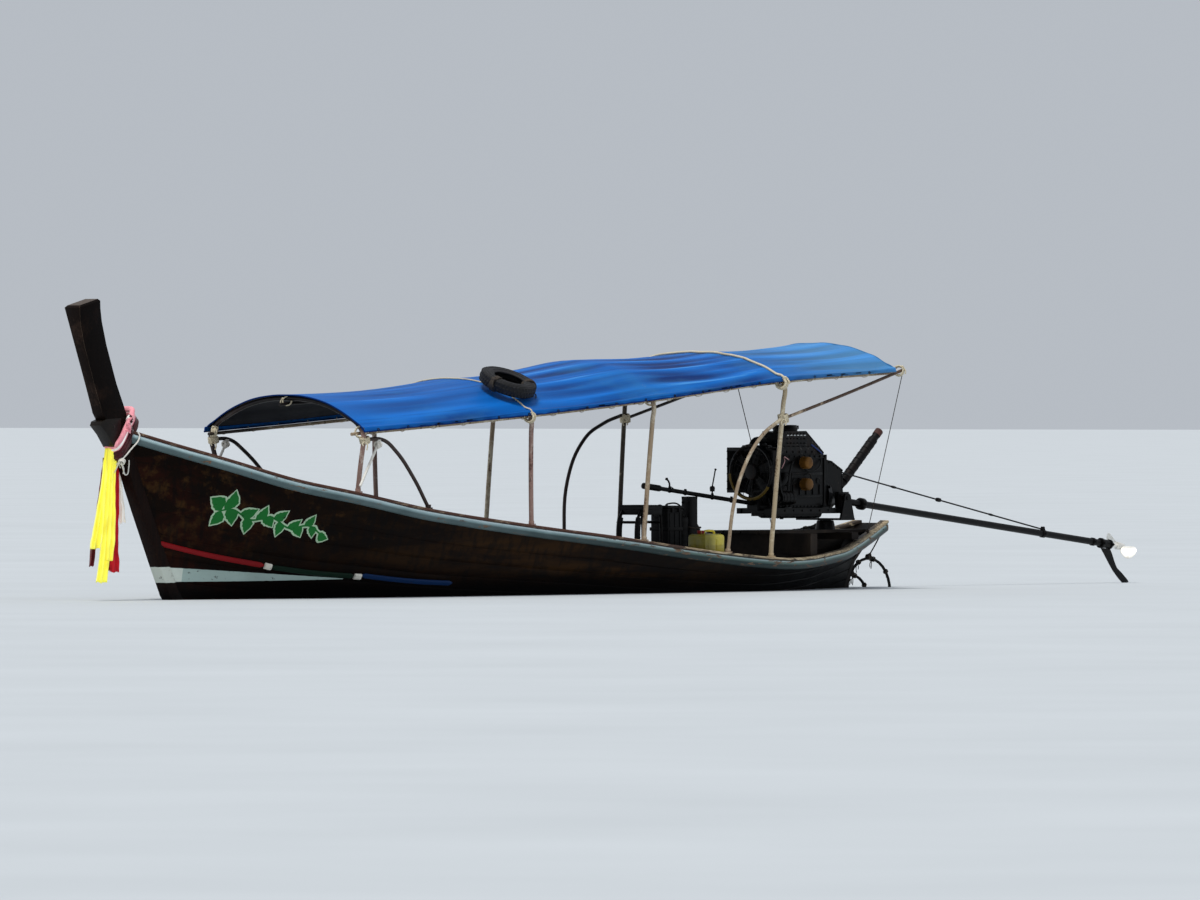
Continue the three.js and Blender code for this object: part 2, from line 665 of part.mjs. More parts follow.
function buildTyre() {
  const ring = new THREE.TorusGeometry(tyre.radius, tyre.tube, 10, 26);
  const inner = archAt(tyre.x, tyre.y - tyre.radius);
  const outer = archAt(tyre.x, tyre.y + tyre.radius);
  const slope = Math.atan2(outer.z - inner.z, tyre.radius * 2);
  ring.scale(1, 1, 0.92).rotateX(slope);
  const lift = hoopRadius + tarp.clear + tarp.thickness + tyre.tube + 24;
  const at = archAt(tyre.x, tyre.y, lift);
  add('tarp_tyre', 'rubber', ring.translate(tyre.x, tyre.y, at.z));
}

// Cloth on the bow: the sash slung round the post and under the block, and the ribbons that hang from it.
const sash = {
  outline: [[4566, 1522], [4622, 1612], [4760, 1502], [4905, 1336], [4806, 1206], [4716, 1322], [4660, 1428]],
  thick: 26,
};
const ribbonShape = { half: 5, wave: 14, waves: 5, steps: 6 };

function buildBowCloth() {
  const whole = profile(sash.outline, stemHalfWidth + sash.thick);
  const noseMiddle = 1380;
  const grown = noseOutline.map(([x, z]) => [x, z + Math.sign(z - noseMiddle) * gap]);
  const noseSpace = profile(grown, noseHalfWidth + gap);
  add('bow_sash', 'red', cut(whole, stemSolid(gap), postSolid(gap), noseSpace));
  // Columns: name, paint, x, y, top, bottom, width at top, width at bottom.
  const ribbons = [
    ['ribbon_yellow', 'yellow', 4800, -80, 1200, 150, 104, 190],
    ['ribbon_red', 'red', 4650, -82, 1180, 250, 66, 100],
    ['ribbon_white', 'white', 4580, -84, 1130, 640, 34, 64],
  ];
  for (const [name, paint, x, y, top, bottom, wide, wideLow] of ribbons) {
    add(name, paint, loft(stationsAlong(0, 1, ribbonShape.steps).map((t) => {
      const z = top + (bottom - top) * t;
      const half = (wide + (wideLow - wide) * t) / 2;
      const middle = x + Math.sin(t * ribbonShape.waves) * ribbonShape.wave;
      const [near, far] = [y - ribbonShape.half, y + ribbonShape.half];
      return [V(middle - half, near, z), V(middle + half, near, z),
        V(middle + half, far, z), V(middle - half, far, z)];
    })));
  }
}

// Things that stand on the helmsman's deck.
const crutch = { x: -2555, half: 56, saddle: 9 };

function buildHelm() {
  const top = helmDeck.top + gap;
  const leg = (y) => rod([V(-1735, y, top + 2), V(-1742, y, 560), V(-1765, y, 676), V(-1830, y, 712),
    V(-1960, y, 716), V(-2030, y, 690), V(-2050, y, 600), V(-2056, y, top + 2)], 14, 18, 8);
  const bar = (x, z) => rod([V(x, -112, z), V(x, 112, z)], 12, 1, 8);
  const seat = box(-2020, -1780, -150, 150, 712, 738);
  add('helm_stool', 'iron', join(leg(-105), leg(105), bar(-1748, 600), bar(-2047, 600), seat));
  const lid = box(-2360, -2140, -118, 108, 716, 742);
  add('battery_box', 'iron', join(box(-2345, -2155, -105, 95, top, 745), lid));
  const saddle = tiller.height + (crutch.x - tiller.at) * tiller.slope - tiller.radius - crutch.saddle;
  add('tiller_crutch', 'iron', join(box(crutch.x - 75, crutch.x + 75, -80, 80, top, 560),
    box(crutch.x - crutch.half, crutch.x + crutch.half, -60, 60, 550, saddle)));
  const neck = barrel(V(-2120, 500, 490), V(-2120, 500, 532), 32);
  add('fuel_can', 'canYellow', join(box(-2330, -2060, 395, 605, top + 2, 500), neck));
}

// Hoops of stiff rod that hang at the stern.
function buildSternRings() {
  // Columns: x, y, height of the middle, radius.
  const rings = [[-4915, 66, -42, 300], [-4874, -100, -120, 230]];
  rings.forEach(([x, y, z, radius], i) => {
    const ring = new THREE.TorusGeometry(radius, 13, 8, 30);
    ring.rotateX(Math.PI / 2).translate(x, y, z);
    add(`stern_ring_${i + 1}`, 'rubber', ring);
  });
}

// Yoke that turns on the pivot seat, with an arm each side that holds a trunnion.
function buildYoke() {
  const { x, trunnion } = pivot;
  const [inner, outer] = [fork.inner, fork.inner + fork.thickness];
  const plate = box(x - 95, x + 95, -outer, outer, 601, 618);
  const hub = barrel(V(x, 0, 597), V(x, 0, 610), 70);
  const arms = [1, -1].map((side) => {
    const corners = [[-95, 0], [95, 0], [42, 190], [-42, 190]];
    const outline = new THREE.Shape(corners.map(([a, b]) => new THREE.Vector2(a, b)));
    const plateSide = new THREE.ExtrudeGeometry(outline, { depth: fork.thickness, bevelEnabled: false });
    plateSide.rotateX(Math.PI / 2).translate(x, side > 0 ? outer : -inner, 602);
    const eye = barrel(V(x, side * inner, trunnion), V(x, side * outer, trunnion), 46);
    return [plateSide, eye];
  }).flat();
  const bores = [1, -1].map((side) => (
    barrel(V(x, side * (inner - 20), trunnion), V(x, side * (outer + 20), trunnion), fork.hole)));
  add('swivel_yoke', 'iron', cut(join(plate, hub, ...arms), ...bores));
}

const tailHeight = (x) => tail.height + (x - tail.at) * tail.slope;
const tailPoint = (x, y = 0, lift = 0) => V(x, y, tailHeight(x) + lift);

// Cradle rails under the engine, with the trunnions that turn in the yoke.
function buildCradle() {
  const rails = [1, -1].map((side) => box(-4490, -3440, side * 190 - 22, side * 190 + 22, 662, 712));
  const crosses = [-3480, -4200].map((x) => box(x - 28, x + 28, -200, 200, 668, 706));
  const cheeks = [1, -1].map((side) => (
    box(pivot.x - 70, pivot.x + 70, side * 190 - 22, side * 190 + 22, 700, 850)));
  const pinEnd = fork.inner + fork.thickness + 8;
  const pins = [1, -1].map((side) => (
    barrel(V(pivot.x, side * 200, pivot.trunnion), V(pivot.x, side * pinEnd, pivot.trunnion), fork.pin)));
  add('engine_cradle', 'iron', join(...rails, ...crosses, ...cheeks, ...pins));
}

// Cover over the drive behind the block, on the port side of the exhaust. Outline columns: x, height.
const cover = {
  outline: [[-4236, 920], [-4236, 1140], [-4330, 1124], [-4476, 1050], [-4490, 800], [-4300, 800]],
  y: 74, half: 56,
};

// Round guard before the radiator's fan.
const fan = { x: -3385, height: 1028, radius: 234, tube: 14, spokes: [0.6, 2.4, 3.7, 5.5] };

function buildEngine() {
  const dynamo = barrel(V(-3720, 190, 800), V(-3550, 190, 800), 58);
  const pump = box(-3980, -3700, -232, -150, 900, 1010);
  const sump = box(-4140, -3560, -146, 146, 640, 720);
  add('engine_block', 'iron', join(box(-4230, -3540, -160, 160, 712 + gap, 1180),
    box(-4160, -3600, -164, 164, 820, 1010), dynamo, pump, sump));
  const hood = profile([[-3640, 1240], [-3690, 1380], [-3985, 1384], [-4226, 1196], [-4226, 1180 + gap],
    [-3640, 1180 + gap]], 126);
  add('cylinder_head', 'steel', join(box(-4160, -3600, -140, 140, 1180 + gap, 1250), hood));
  const stack = barrel(V(-3850, 0, 1390), V(-3850, 0, 1410), 60);
  add('air_cleaner', 'iron', join(stack, barrel(V(-3850, 0, 1400), V(-3850, 0, 1440), 112, 100)));
  const core = join(box(-3512, -3420, -300, 225, 850, 1240), box(-3490, -3440, -150, 150, 1230, 1262));
  const guard = fan.spokes.map((turn) => {
    const [cy, cz] = [Math.cos(turn) * fan.radius, Math.sin(turn) * fan.radius];
    return rod([V(-3430, cy * 0.9, fan.height + cz * 0.6), V(fan.x, cy, fan.height + cz)], 9, 1, 8);
  });
  const rim = new THREE.TorusGeometry(fan.radius, fan.tube, 8, 28);
  rim.rotateY(Math.PI / 2).translate(fan.x, 0, fan.height);
  add('radiator', 'steel', join(core, rim, ...guard));
  // Columns: x, height, how far out the block's side is there.
  const filters = [[-3890, 1110, 160], [-3890, 920, 164]];
  filters.forEach(([x, z, side], i) => {
    add(`filter_${i + 1}`, 'filter', barrel(V(x, side + gap, z), V(x, side + 92, z), 54));
  });
  const bell = join(barrel(tailPoint(-4231), tailPoint(-4300), 186, 170),
    barrel(tailPoint(-4295), tailPoint(-4440), 150, 96), barrel(tailPoint(-4410), tailPoint(-4600), 60, 44));
  const rest = [box(-4230, -4000, -300, 300, 500, 1100), box(-4400, -4100, -300, 300, 600, 712 + gap)];
  const shell = profile(cover.outline, cover.half).translate(0, cover.y, 0);
  add('bell_housing', 'iron', join(cut(bell, ...rest), shell));
  const pipe = rod([V(-4180, -60, 1140), V(-4300, -60, 1090), V(-4420, -60, 1000), V(-4560, -30, 900),
    V(-4620, -20, 905), V(-4780, -10, 1050), V(-5150, 0, 1390)], 34, 26, 12);
  add('exhaust', 'steel', cut(pipe, box(-4230 - gap, -3540, -160, 160, 712, 1180 + gap)));
}

// Stiffening rod over the tail, from a post on the tube to the drive's cover. Columns: x, y, height.
const stayLine = [[-7460, 0, 494], [-5930, 36, 770], [-4493, 70, 1030]];

// Guard fin before the propeller. Outline columns: x, height from the tube's underside.
const skeg = {
  outline: [[-8300, 0], [-8345, -47], [-8410, -120], [-8480, -192], [-8560, -253], [-8630, -295],
    [-8700, -272], [-8680, -250], [-8600, -199], [-8530, -161], [-8495, -110], [-8455, -35], [-8430, 0]],
  below: 12, half: 6, bore: 40.6,
};

// Long tail tube with its collar, bracket and stiffening rod, the guard fin and the tiller.
function buildTail() {
  const tube = barrel(tailPoint(-4600 - gap), tailPoint(tail.end), tail.radius, tail.radius, 16);
  const collar = barrel(tailPoint(-4860), tailPoint(-4930), 46, 46, 16);
  const shoe = barrel(tailPoint(-8290), tailPoint(-8430), 40, 38, 16);
  const [foot, knob] = stayLine.map((point) => V(...point));
  const post = rod([tailPoint(foot.x, 0, 10), foot.clone().setZ(foot.z + 8)], 9, 1, 8);
  const stay = rod(stayLine.map((point) => V(...point)), 7, 8, 8);
  const swell = rod([knob.clone().setX(knob.x - 26), knob.clone().setX(knob.x + 26)], 15, 1, 8);
  add('tail_tube', 'iron', join(tube, collar, shoe, stay, post, swell));
  const place = ([x, drop]) => [x, tailHeight(x) - tail.radius - skeg.below + drop];
  const around = barrel(tailPoint(-8140), tailPoint(-8440), skeg.bore, skeg.bore, 16);
  add('skeg', 'iron', cut(profile(skeg.outline.map(place), skeg.half), around));
}

function buildPropeller() {
  const centre = tailPoint(prop.x);
  const axis = V(1, 0, tail.slope).normalize();
  const along = (distance) => centre.clone().addScaledVector(axis, distance);
  const hubHalf = prop.hubLength / 2;
  const hub = barrel(along(-hubHalf), along(hubHalf), prop.hubRadius * 0.7, prop.hubRadius, 18);
  const shaft = barrel(along(hubHalf - 10), along(142), 15, 15, 14);
  const blades = stationsAlong(0, prop.blades - 1, prop.blades - 1).map((k) => {
    // Columns: radius, half chord, pitch angle.
    const sections = [[26, 30, 58], [80, 62, 46], [130, 70, 36], [170, 52, 30], [prop.radius, 18, 28]];
    const rings = sections.map(([radius, chord, pitch]) => {
      const lean = pitch * Math.PI / 180;
      const [sine, cosine] = [Math.sin(lean), Math.cos(lean)];
      return [[-chord, -3], [chord, -3], [chord, 3], [-chord, 3]].map(([across, thick]) => (
        V(across * sine + thick * cosine, across * cosine - thick * sine, radius)));
    });
    const blade = loft(rings).rotateX(k * Math.PI * 2 / prop.blades - prop.rest);
    return blade.rotateY(-Math.atan(tail.slope)).translate(centre.x, centre.y, centre.z);
  });
  add('propeller', 'blade', join(hub, shaft, ...blades));
}

function buildTiller() {
  const at = (x, y = 0, lift = 0) => V(x, y, tiller.height + (x - tiller.at) * tiller.slope + lift);
  const bar = barrel(at(tiller.root), at(tiller.tip), tiller.radius, tiller.radius, 14);
  const grip = barrel(at(-2160), at(tiller.tip - 4), 25, 25, 14);
  const foot = box(-3440 + gap, -3400, -60, 60, 690, 790);
  const levers = [rod([at(-2290), at(-2285, 0, 62), at(-2250, 0, 96)], 8, 6, 8),
    rod([at(-2860), at(-2862, 0, 96)], 7, 1, 8), rod([at(-2862, 0, 92), at(-2905, 0, 250)], 6, 1, 8)];
  add('tiller', 'iron', join(bar, grip, foot, ...levers));
}

buildPlanking();
buildKeel();
buildStem();
buildStern();
buildRails();
buildFrames();
buildInside();
buildFloor();
buildDecks();
buildEngineDeck();
buildHoops();
buildBraces();
buildPoles();
buildTarp();
buildTyre();
buildBowCloth();
buildHelm();
buildSternRings();
buildYoke();
buildCradle();
buildEngine();
buildTail();
buildPropeller();
buildTiller();

export default boat;
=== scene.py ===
import math

import bmesh
import bpy
from mathutils import Matrix, Vector, noise


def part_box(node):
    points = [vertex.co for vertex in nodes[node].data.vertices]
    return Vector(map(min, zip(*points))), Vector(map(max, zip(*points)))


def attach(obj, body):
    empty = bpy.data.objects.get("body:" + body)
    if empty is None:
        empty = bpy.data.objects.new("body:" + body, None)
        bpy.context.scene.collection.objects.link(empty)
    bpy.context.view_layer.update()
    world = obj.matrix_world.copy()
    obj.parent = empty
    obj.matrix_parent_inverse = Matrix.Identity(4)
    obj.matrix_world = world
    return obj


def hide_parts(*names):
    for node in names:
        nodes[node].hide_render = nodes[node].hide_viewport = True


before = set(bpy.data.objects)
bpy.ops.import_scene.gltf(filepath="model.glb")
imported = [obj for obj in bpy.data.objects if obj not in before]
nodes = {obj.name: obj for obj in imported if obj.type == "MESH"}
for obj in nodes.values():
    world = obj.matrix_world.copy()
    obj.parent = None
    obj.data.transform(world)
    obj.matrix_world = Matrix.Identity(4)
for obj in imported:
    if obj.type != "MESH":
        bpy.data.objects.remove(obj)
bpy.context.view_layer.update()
pi = math.pi
noise.seed_set(7)
bothSides = (("port", 1), ("starboard", -1))


# Camera: low over the water, off the port bow, through a long lens.
view = {"turn": 49.0, "eye": 1.59, "distance": 100.0, "aside": 0.897, "aimHeight": 1.231, "lens": 351.0,
        "sensor": 36.0, "reach": 1000.0}


def setCamera():
    turn = math.radians(view["turn"])
    toCamera = Vector((math.sin(turn), math.cos(turn), 0))
    aside = Vector((-math.cos(turn), math.sin(turn), 0)) * view["aside"]
    eye = toCamera * view["distance"] + aside + Vector((0, 0, view["eye"]))
    aim = aside + Vector((0, 0, view["aimHeight"]))
    lens = bpy.data.cameras.new("camera")
    lens.lens = view["lens"]
    lens.sensor_width = view["sensor"]
    lens.clip_end = view["reach"]
    camera = bpy.data.objects.new("camera", lens)
    camera.location = eye
    camera.rotation_euler = (aim - eye).to_track_quat("-Z", "Y").to_euler()
    bpy.context.scene.collection.objects.link(camera)
    bpy.context.scene.camera = camera


setCamera()
print("camera set")


# Shader maths: a Wire is a node's output, and + - * on it add Math nodes.
class Wire:
    def __init__(self, finish, socket):
        self.finish = finish
        self.socket = socket

    def maths(self, operation, *values):
        return self.finish.node("Math", {"operation": operation}, dict(enumerate(values)))

    def __add__(self, other):
        return self.maths("ADD", self, other)

    def __radd__(self, other):
        return self.maths("ADD", other, self)

    def __sub__(self, other):
        return self.maths("SUBTRACT", self, other)

    def __rsub__(self, other):
        return self.maths("SUBTRACT", other, self)

    def __mul__(self, other):
        return self.maths("MULTIPLY", self, other)

    def __rmul__(self, other):
        return self.maths("MULTIPLY", other, self)

    def __abs__(self):
        return self.maths("ABSOLUTE", self)

    def over(self, low, high):  # 0 below low, 1 above high
        return self.finish.node("MapRange", {"clamp": True}, {0: self, 1: low, 2: high, 3: 0.0, 4: 1.0})


class Finish:
    def __init__(self, name):
        self.material = bpy.data.materials.new(name)
        self.material.use_nodes = True
        self.tree = self.material.node_tree
        self.tree.nodes.clear()

    def node(self, kind, settings=None, sockets=None, out=0):
        made = self.tree.nodes.new("ShaderNode" + kind)
        for key, value in (settings or {}).items():
            setattr(made, key, value)
        for key, value in (sockets or {}).items():
            if isinstance(value, Wire):
                self.tree.links.new(value.socket, made.inputs[key])
            else:
                made.inputs[key].default_value = value
        return Wire(self, made.outputs[out]) if len(made.outputs) else None

    def place(self):  # the piece's own coordinates, in metres
        return self.node("TexCoord", out=3)

    def flow(self):  # the share of the way along and across a drawn surface
        return self.node("UVMap", {"uv_map": "flow"})

    def axis(self, which, source=None):
        return self.node("SeparateXYZ", {}, {0: source or self.place()}, out="XYZ".index(which))

    def stretched(self, scale, source=None, turn=(0, 0, 0)):
        return self.node("Mapping", {"vector_type": "POINT"}, {0: source or self.place(), 2: turn, 3: scale})

    def cloud(self, scale, detail=4.0, rough=0.55, source=None, twist=0.0):
        sockets = {"Vector": source or self.place(), "Scale": scale, "Detail": detail,
                   "Roughness": rough, "Distortion": twist}
        return self.node("TexNoise", {}, sockets)

    def mix(self, amount, low, high):
        settings = {"data_type": "RGBA", "blend_type": "MIX", "clamp_factor": True}
        return self.node("Mix", settings, {0: amount, 6: asColour(low), 7: asColour(high)}, out=2)

    def bump(self, height, depth, strength=0.6):
        return self.node("Bump", {}, {"Height": height, "Distance": depth, "Strength": strength})

    def surface(self, **sockets):
        named = {key.replace("_", " "): asColour(value) for key, value in sockets.items()}
        self.node("OutputMaterial", {}, {0: self.node("BsdfPrincipled", {}, named)})
        return self.material


def asColour(value):
    return (*value, 1.0) if isinstance(value, tuple) and len(value) == 3 else value


def shade(red, green, blue):  # a colour as a screen shows it, 0 to 255
    return tuple(((part / 255 + 0.055) / 1.055) ** 2.4 if part > 10 else part / 255 / 12.92
                 for part in (red, green, blue))


def darker(colour, share):
    return tuple(part * share for part in colour)


finishes = {}


# Finishes made alike: each row is a name and what the maker takes, with its colours as 0 to 255.
def addFinishes(maker, *rows):
    for name, *rest in rows:
        finishes[name] = maker(name, *(shade(*part) if isinstance(part, tuple) else part for part in rest))


# Plain finishes that many small pieces share, each with its own mottling and wear.
def wornFinish(name, base, worn, rough, metal, grain, wear):
    f = Finish(name)
    blotch = f.cloud(grain, 6.0, 0.6)
    fine = f.cloud(grain * 9, 3.0, 0.6)
    amount = (blotch * 0.7 + fine * 0.3).over(0.62 - wear * 0.25, 0.74 - wear * 0.12)
    colour = f.mix(blotch.over(0.3, 0.7), darker(base, 0.72), base)
    colour = f.mix(amount, colour, worn)
    roughness = rough + (fine - 0.5) * 0.25 + amount * 0.12
    return f.surface(Base_Color=colour, Roughness=roughness, Metallic=metal, Specular_IOR_Level=0.22,
                     Normal=f.bump(fine * 0.4 + blotch * 0.6, 0.0008))


def woodFinish(name, base, pale, along, rough, wear):
    f = Finish(name)
    long = {"X": (1.2, 22, 22), "Y": (22, 1.2, 22)}[along]
    fibres = f.cloud(3.2, 6.0, 0.65, f.stretched(long), 0.4)
    patches = f.cloud(2.6, 4.0, 0.6)
    chips = f.cloud(26.0, 4.0, 0.7)
    colour = f.mix(fibres.over(0.32, 0.68), darker(base, 0.45), base)
    colour = f.mix(patches.over(0.45, 0.75) * 0.55, colour, pale)
    worn = (patches * 0.6 + chips * 0.4).over(0.66 - wear * 0.22, 0.72 - wear * 0.1)
    colour = f.mix(worn * 0.7, colour, pale)
    return f.surface(Base_Color=colour, Roughness=rough + (fibres - 0.5) * 0.3, Specular_IOR_Level=0.2,
                     Normal=f.bump(fibres * 0.7 + chips * 0.3, 0.0022, 0.7))


colours = {name: shade(*parts) for name, parts in {
    "varnish": (18, 10, 6), "varnishGold": (54, 34, 13), "varnishRed": (46, 16, 9), "varnishAft": (9, 9, 6),
    "wet": (5, 4, 4), "slime": (26, 30, 16), "under": (48, 18, 14), "turquoise": (188, 218, 222),
    "teal": (52, 92, 90), "black": (8, 8, 9)}.items()}


def dress(finish, *names):
    for name in names:
        nodes[name].data.materials.clear()
        nodes[name].data.materials.append(finishes[finish])


addFinishes(
    woodFinish, ("keelWood", (26, 18, 14), (64, 50, 38), "X", 0.55, 0.1),
    ("deckBoards", (28, 20, 16), (70, 58, 46), "X", 0.7, 0.3),
    ("thwartBoards", (42, 31, 24), (88, 74, 60), "Y", 0.7, 0.3))
addFinishes(wornFinish, ("wornRubber", (12, 12, 13), (46, 44, 42), 0.75, 0.0, 20.0, 0.35))
dress("keelWood", "keel", "sternpost", "transom")
dress("deckBoards", "floorboards", "helm_deck", "foredeck", "engine_deck", "ribs_keelson_fore",
      "ribs_keelson_aft")
dress("thwartBoards", "thwarts_risers")
dress("wornRubber", "stern_ring_1", "stern_ring_2")
print("frame dressed")


# Building tools. A piece is drawn as a bmesh, in its place, and then becomes an object.
joinWithin = 0.00005


def finishPiece(name, bm, finish, body="hull", slot=None, stands=(), crease=38.0):
    mesh = bpy.data.meshes.new(name)
    bm.to_mesh(mesh)
    bm.free()
    mesh.polygons.foreach_set("use_smooth", [True] * len(mesh.polygons))
    mesh.set_sharp_from_angle(angle=math.radians(crease))
    piece = bpy.data.objects.new(name, mesh)
    bpy.context.scene.collection.objects.link(piece)
    for each in (finish if isinstance(finish, (list, tuple)) else (finish,)):
        mesh.materials.append(finishes[each])
    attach(piece, body)
    if stands:
        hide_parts(*stands)
    return piece


# Each item once, in the order it comes: a set's order would change from run to run.
def once(items):
    return list(dict.fromkeys(items))


def facesOf(verts):
    return once(face for vert in verts for face in vert.link_faces)


def edgesOf(verts):
    return once(edge for vert in verts for edge in vert.link_edges)


# A sheet of faces, whose corners go where place(u, v) says, with u and v from 0 to 1.
def drawSurface(bm, along, across, place, finish=0):
    if "flow" not in bm.loops.layers.uv:
        bm.loops.layers.uv.new("flow")
    made = bmesh.ops.create_grid(bm, x_segments=along, y_segments=across, size=0.5)["verts"]
    flow = bm.loops.layers.uv["flow"]
    for face in facesOf(made):
        face.material_index = finish
        for loop in face.loops:
            loop[flow].uv = (loop.vert.co.x + 0.5, loop.vert.co.y + 0.5)
    for vert in made:
        vert.co = place(vert.co.x + 0.5, vert.co.y + 0.5)
    return made


# A closed bar: place(u, k) gives corner k of its section at a share u of its length.
def drawBar(bm, along, corners, place, finish=0):
    made = drawSurface(bm, along, corners, lambda u, v: place(u, round(v * corners) % corners), finish)
    closeUp(bm, made)


def closeUp(bm, made):
    faces = facesOf(made)
    bmesh.ops.remove_doubles(bm, verts=made, dist=joinWithin)
    faces = [face for face in faces if face.is_valid]
    rims = [edge for edge in once(edge for face in faces for edge in face.edges) if edge.is_boundary]
    faces += bmesh.ops.holes_fill(bm, edges=rims, sides=0)["faces"]
    bmesh.ops.recalc_face_normals(bm, faces=faces)


# Round bar, rope or hose along a smooth line through points.
def drawRod(bm, points, radius, sides=8, closed=False, finish=0, straight=False, fine=5):
    curve = bpy.data.curves.new("line", "CURVE")
    curve.dimensions = "3D"
    curve.bevel_depth = radius
    curve.bevel_resolution = max(sides // 2 - 2, 0)
    curve.use_fill_caps = not closed
    curve.resolution_u = fine
    spline = curve.splines.new("POLY" if straight else "BEZIER")
    if straight:
        spline.points.add(len(points) - 1)
        for knot, point in zip(spline.points, points):
            knot.co = (*point, 1.0)
    else:
        spline.bezier_points.add(len(points) - 1)
        for knot, point in zip(spline.bezier_points, points):
            knot.co = point
            knot.handle_left_type = knot.handle_right_type = "AUTO"
    spline.use_cyclic_u = closed
    holder = bpy.data.objects.new("line", curve)
    mesh = bpy.data.meshes.new_from_object(holder)
    before = len(bm.faces)
    bm.from_mesh(mesh)
    bm.faces.ensure_lookup_table()
    made = bm.faces[before:]
    for face in made:
        face.material_index = finish
    bmesh.ops.recalc_face_normals(bm, faces=made)
    bpy.data.objects.remove(holder)
    bpy.data.curves.remove(curve)
    bpy.data.meshes.remove(mesh)


def softenEdges(bm, edges, width, segments=2):
    bmesh.ops.bevel(bm, geom=edges, offset=width, offset_type="OFFSET", segments=segments, profile=0.5,
                    affect="EDGES", clamp_overlap=True, material=-1)


def drawBox(bm, low, high, soft=0.004, turn=None, finish=0):
    low, high = (Vector(map(pick, low, high)) for pick in (min, max))
    size = high - low
    place = Matrix.Translation((low + high) / 2)
    if turn is not None:
        place = place @ turn
    made = bmesh.ops.create_cube(bm, size=1.0, matrix=place @ Matrix.Diagonal((*size, 1)))["verts"]
    for face in facesOf(made):
        face.material_index = finish
    if soft:
        softenEdges(bm, edgesOf(made), min(soft, min(size) * 0.45))


def drawDrum(bm, start, end, radius, radiusEnd=None, sides=24, soft=0.003, finish=0):
    start, end = Vector(start), Vector(end)
    along = end - start
    place = Matrix.Translation((start + end) / 2) @ along.to_track_quat("Z", "Y").to_matrix().to_4x4()
    made = bmesh.ops.create_cone(bm, cap_ends=True, segments=sides, radius1=radius,
                                 radius2=radius if radiusEnd is None else radiusEnd,
                                 depth=along.length, matrix=place)["verts"]
    faces = facesOf(made)
    for face in faces:
        face.material_index = finish
    if soft:
        rims = once(edge for face in faces if len(face.verts) > 4 for edge in face.edges)
        softenEdges(bm, rims, soft)


def drawRing(bm, centre, axis, radius, tube, around=36, sides=10, finish=0):
    axis = Vector(axis).normalized()
    out = axis.orthogonal().normalized()
    start = len(bm.faces)
    made = bmesh.ops.create_circle(bm, segments=sides, radius=tube, cap_ends=False)["verts"]
    for vert in made:
        vert.co = Vector(centre) + out * (radius + vert.co.x) + axis * vert.co.y
    bmesh.ops.spin(bm, geom=made + edgesOf(made), cent=centre, axis=axis, angle=2 * pi, steps=around,
                   use_merge=True, use_duplicate=False)
    bm.faces.ensure_lookup_table()
    faces = bm.faces[start:]
    for face in faces:
        face.material_index = finish
    bmesh.ops.recalc_face_normals(bm, faces=faces)


# A turned shape: columns are the distance along the axis and the radius there.
def drawTurned(bm, start, axis, rows, sides=32, finish=0):
    start, axis = Vector(start), Vector(axis).normalized()
    out = axis.orthogonal().normalized()
    first = len(bm.faces)
    knots = [bm.verts.new(start + axis * along + out * radius) for along, radius in rows]
    line = [bm.edges.new(pair) for pair in zip(knots, knots[1:])]
    bmesh.ops.spin(bm, geom=knots + line, cent=start, axis=axis, angle=2 * pi, steps=sides,
                   use_merge=True, use_duplicate=False)
    bm.faces.ensure_lookup_table()
    faces = bm.faces[first:]
    verts = once(vert for face in faces for vert in face.verts)
    bmesh.ops.remove_doubles(bm, verts=verts, dist=0.0001)
    faces = [face for face in faces if face.is_valid]
    for face in faces:
        face.material_index = finish
    bmesh.ops.recalc_face_normals(bm, faces=faces)


# A CAD node's mesh, merged, with its edges over 30 degrees rounded.
def copyNode(name, soft, segments):
    bm = bmesh.new()
    bm.from_mesh(nodes[name].data)
    bmesh.ops.remove_doubles(bm, verts=bm.verts, dist=joinWithin)
    bmesh.ops.dissolve_limit(bm, angle_limit=math.radians(0.8), verts=bm.verts, edges=bm.edges)
    for face in bm.faces:
        face.material_index = 0
    limit = math.radians(30)
    edges = [edge for edge in bm.edges if edge.is_manifold and edge.calc_face_angle(0) > limit]
    softenEdges(bm, edges, soft, segments)
    return bm


def wobble(point, amount, scale, seed=0):  # a small uneven move, the same each run
    return noise.noise_vector(Vector(point) * scale + Vector((seed, seed * 2.3, 0))) * amount


# Hull form, in metres. Columns: x at the rail, half breadth there, rail height, keel height, and the
# power of the section's curve.
hull = {
    "stations": (
        (-5.03, 0.165, 0.572, -0.2, 0.7), (-4.68, 0.29, 0.476, -0.222, 0.62),
        (-4.3, 0.44, 0.39, -0.236, 0.56), (-3.9, 0.595, 0.322, -0.246, 0.5),
        (-2.95, 0.85, 0.264, -0.26, 0.42), (-1.87, 0.905, 0.33, -0.272, 0.36),
        (-0.44, 0.915, 0.48, -0.28, 0.34), (0.54, 0.89, 0.576, -0.28, 0.34),
        (1.8, 0.838, 0.724, -0.276, 0.38), (2.6, 0.765, 0.864, -0.268, 0.45),
        (3.24, 0.63, 0.98, -0.258, 0.54), (3.83, 0.44, 1.142, -0.244, 0.66),
        (4.33, 0.205, 1.29, -0.22, 0.8), (4.63, 0.06, 1.385, -0.2, 0.9)),
    # share of keel to rail, x of the planks' ends there
    "stemLine": ((0, 3.1), (0.03, 3.48), (0.07, 3.76), (0.125, 3.96), (0.25, 4.085),
                 (0.525, 4.3), (0.76, 4.475), (1, 4.63)),
    "sternLine": ((0, -4.54), (0.3, -4.565), (0.55, -4.62), (0.8, -4.79), (1, -5.03)),
    "keelHalf": 0.03,
    "thickness": 0.032,
    "seam": 0.0035,
    "bottomPlanks": (0.004, 0.12, 0.24, 0.36, 0.48, 0.6),  # edges as a share of the girth
    "sidePlanks": (0.6, 0.69, 0.78, 0.87, 0.9985),
    "steps": 72,
    "bulge": 0.0016,
}


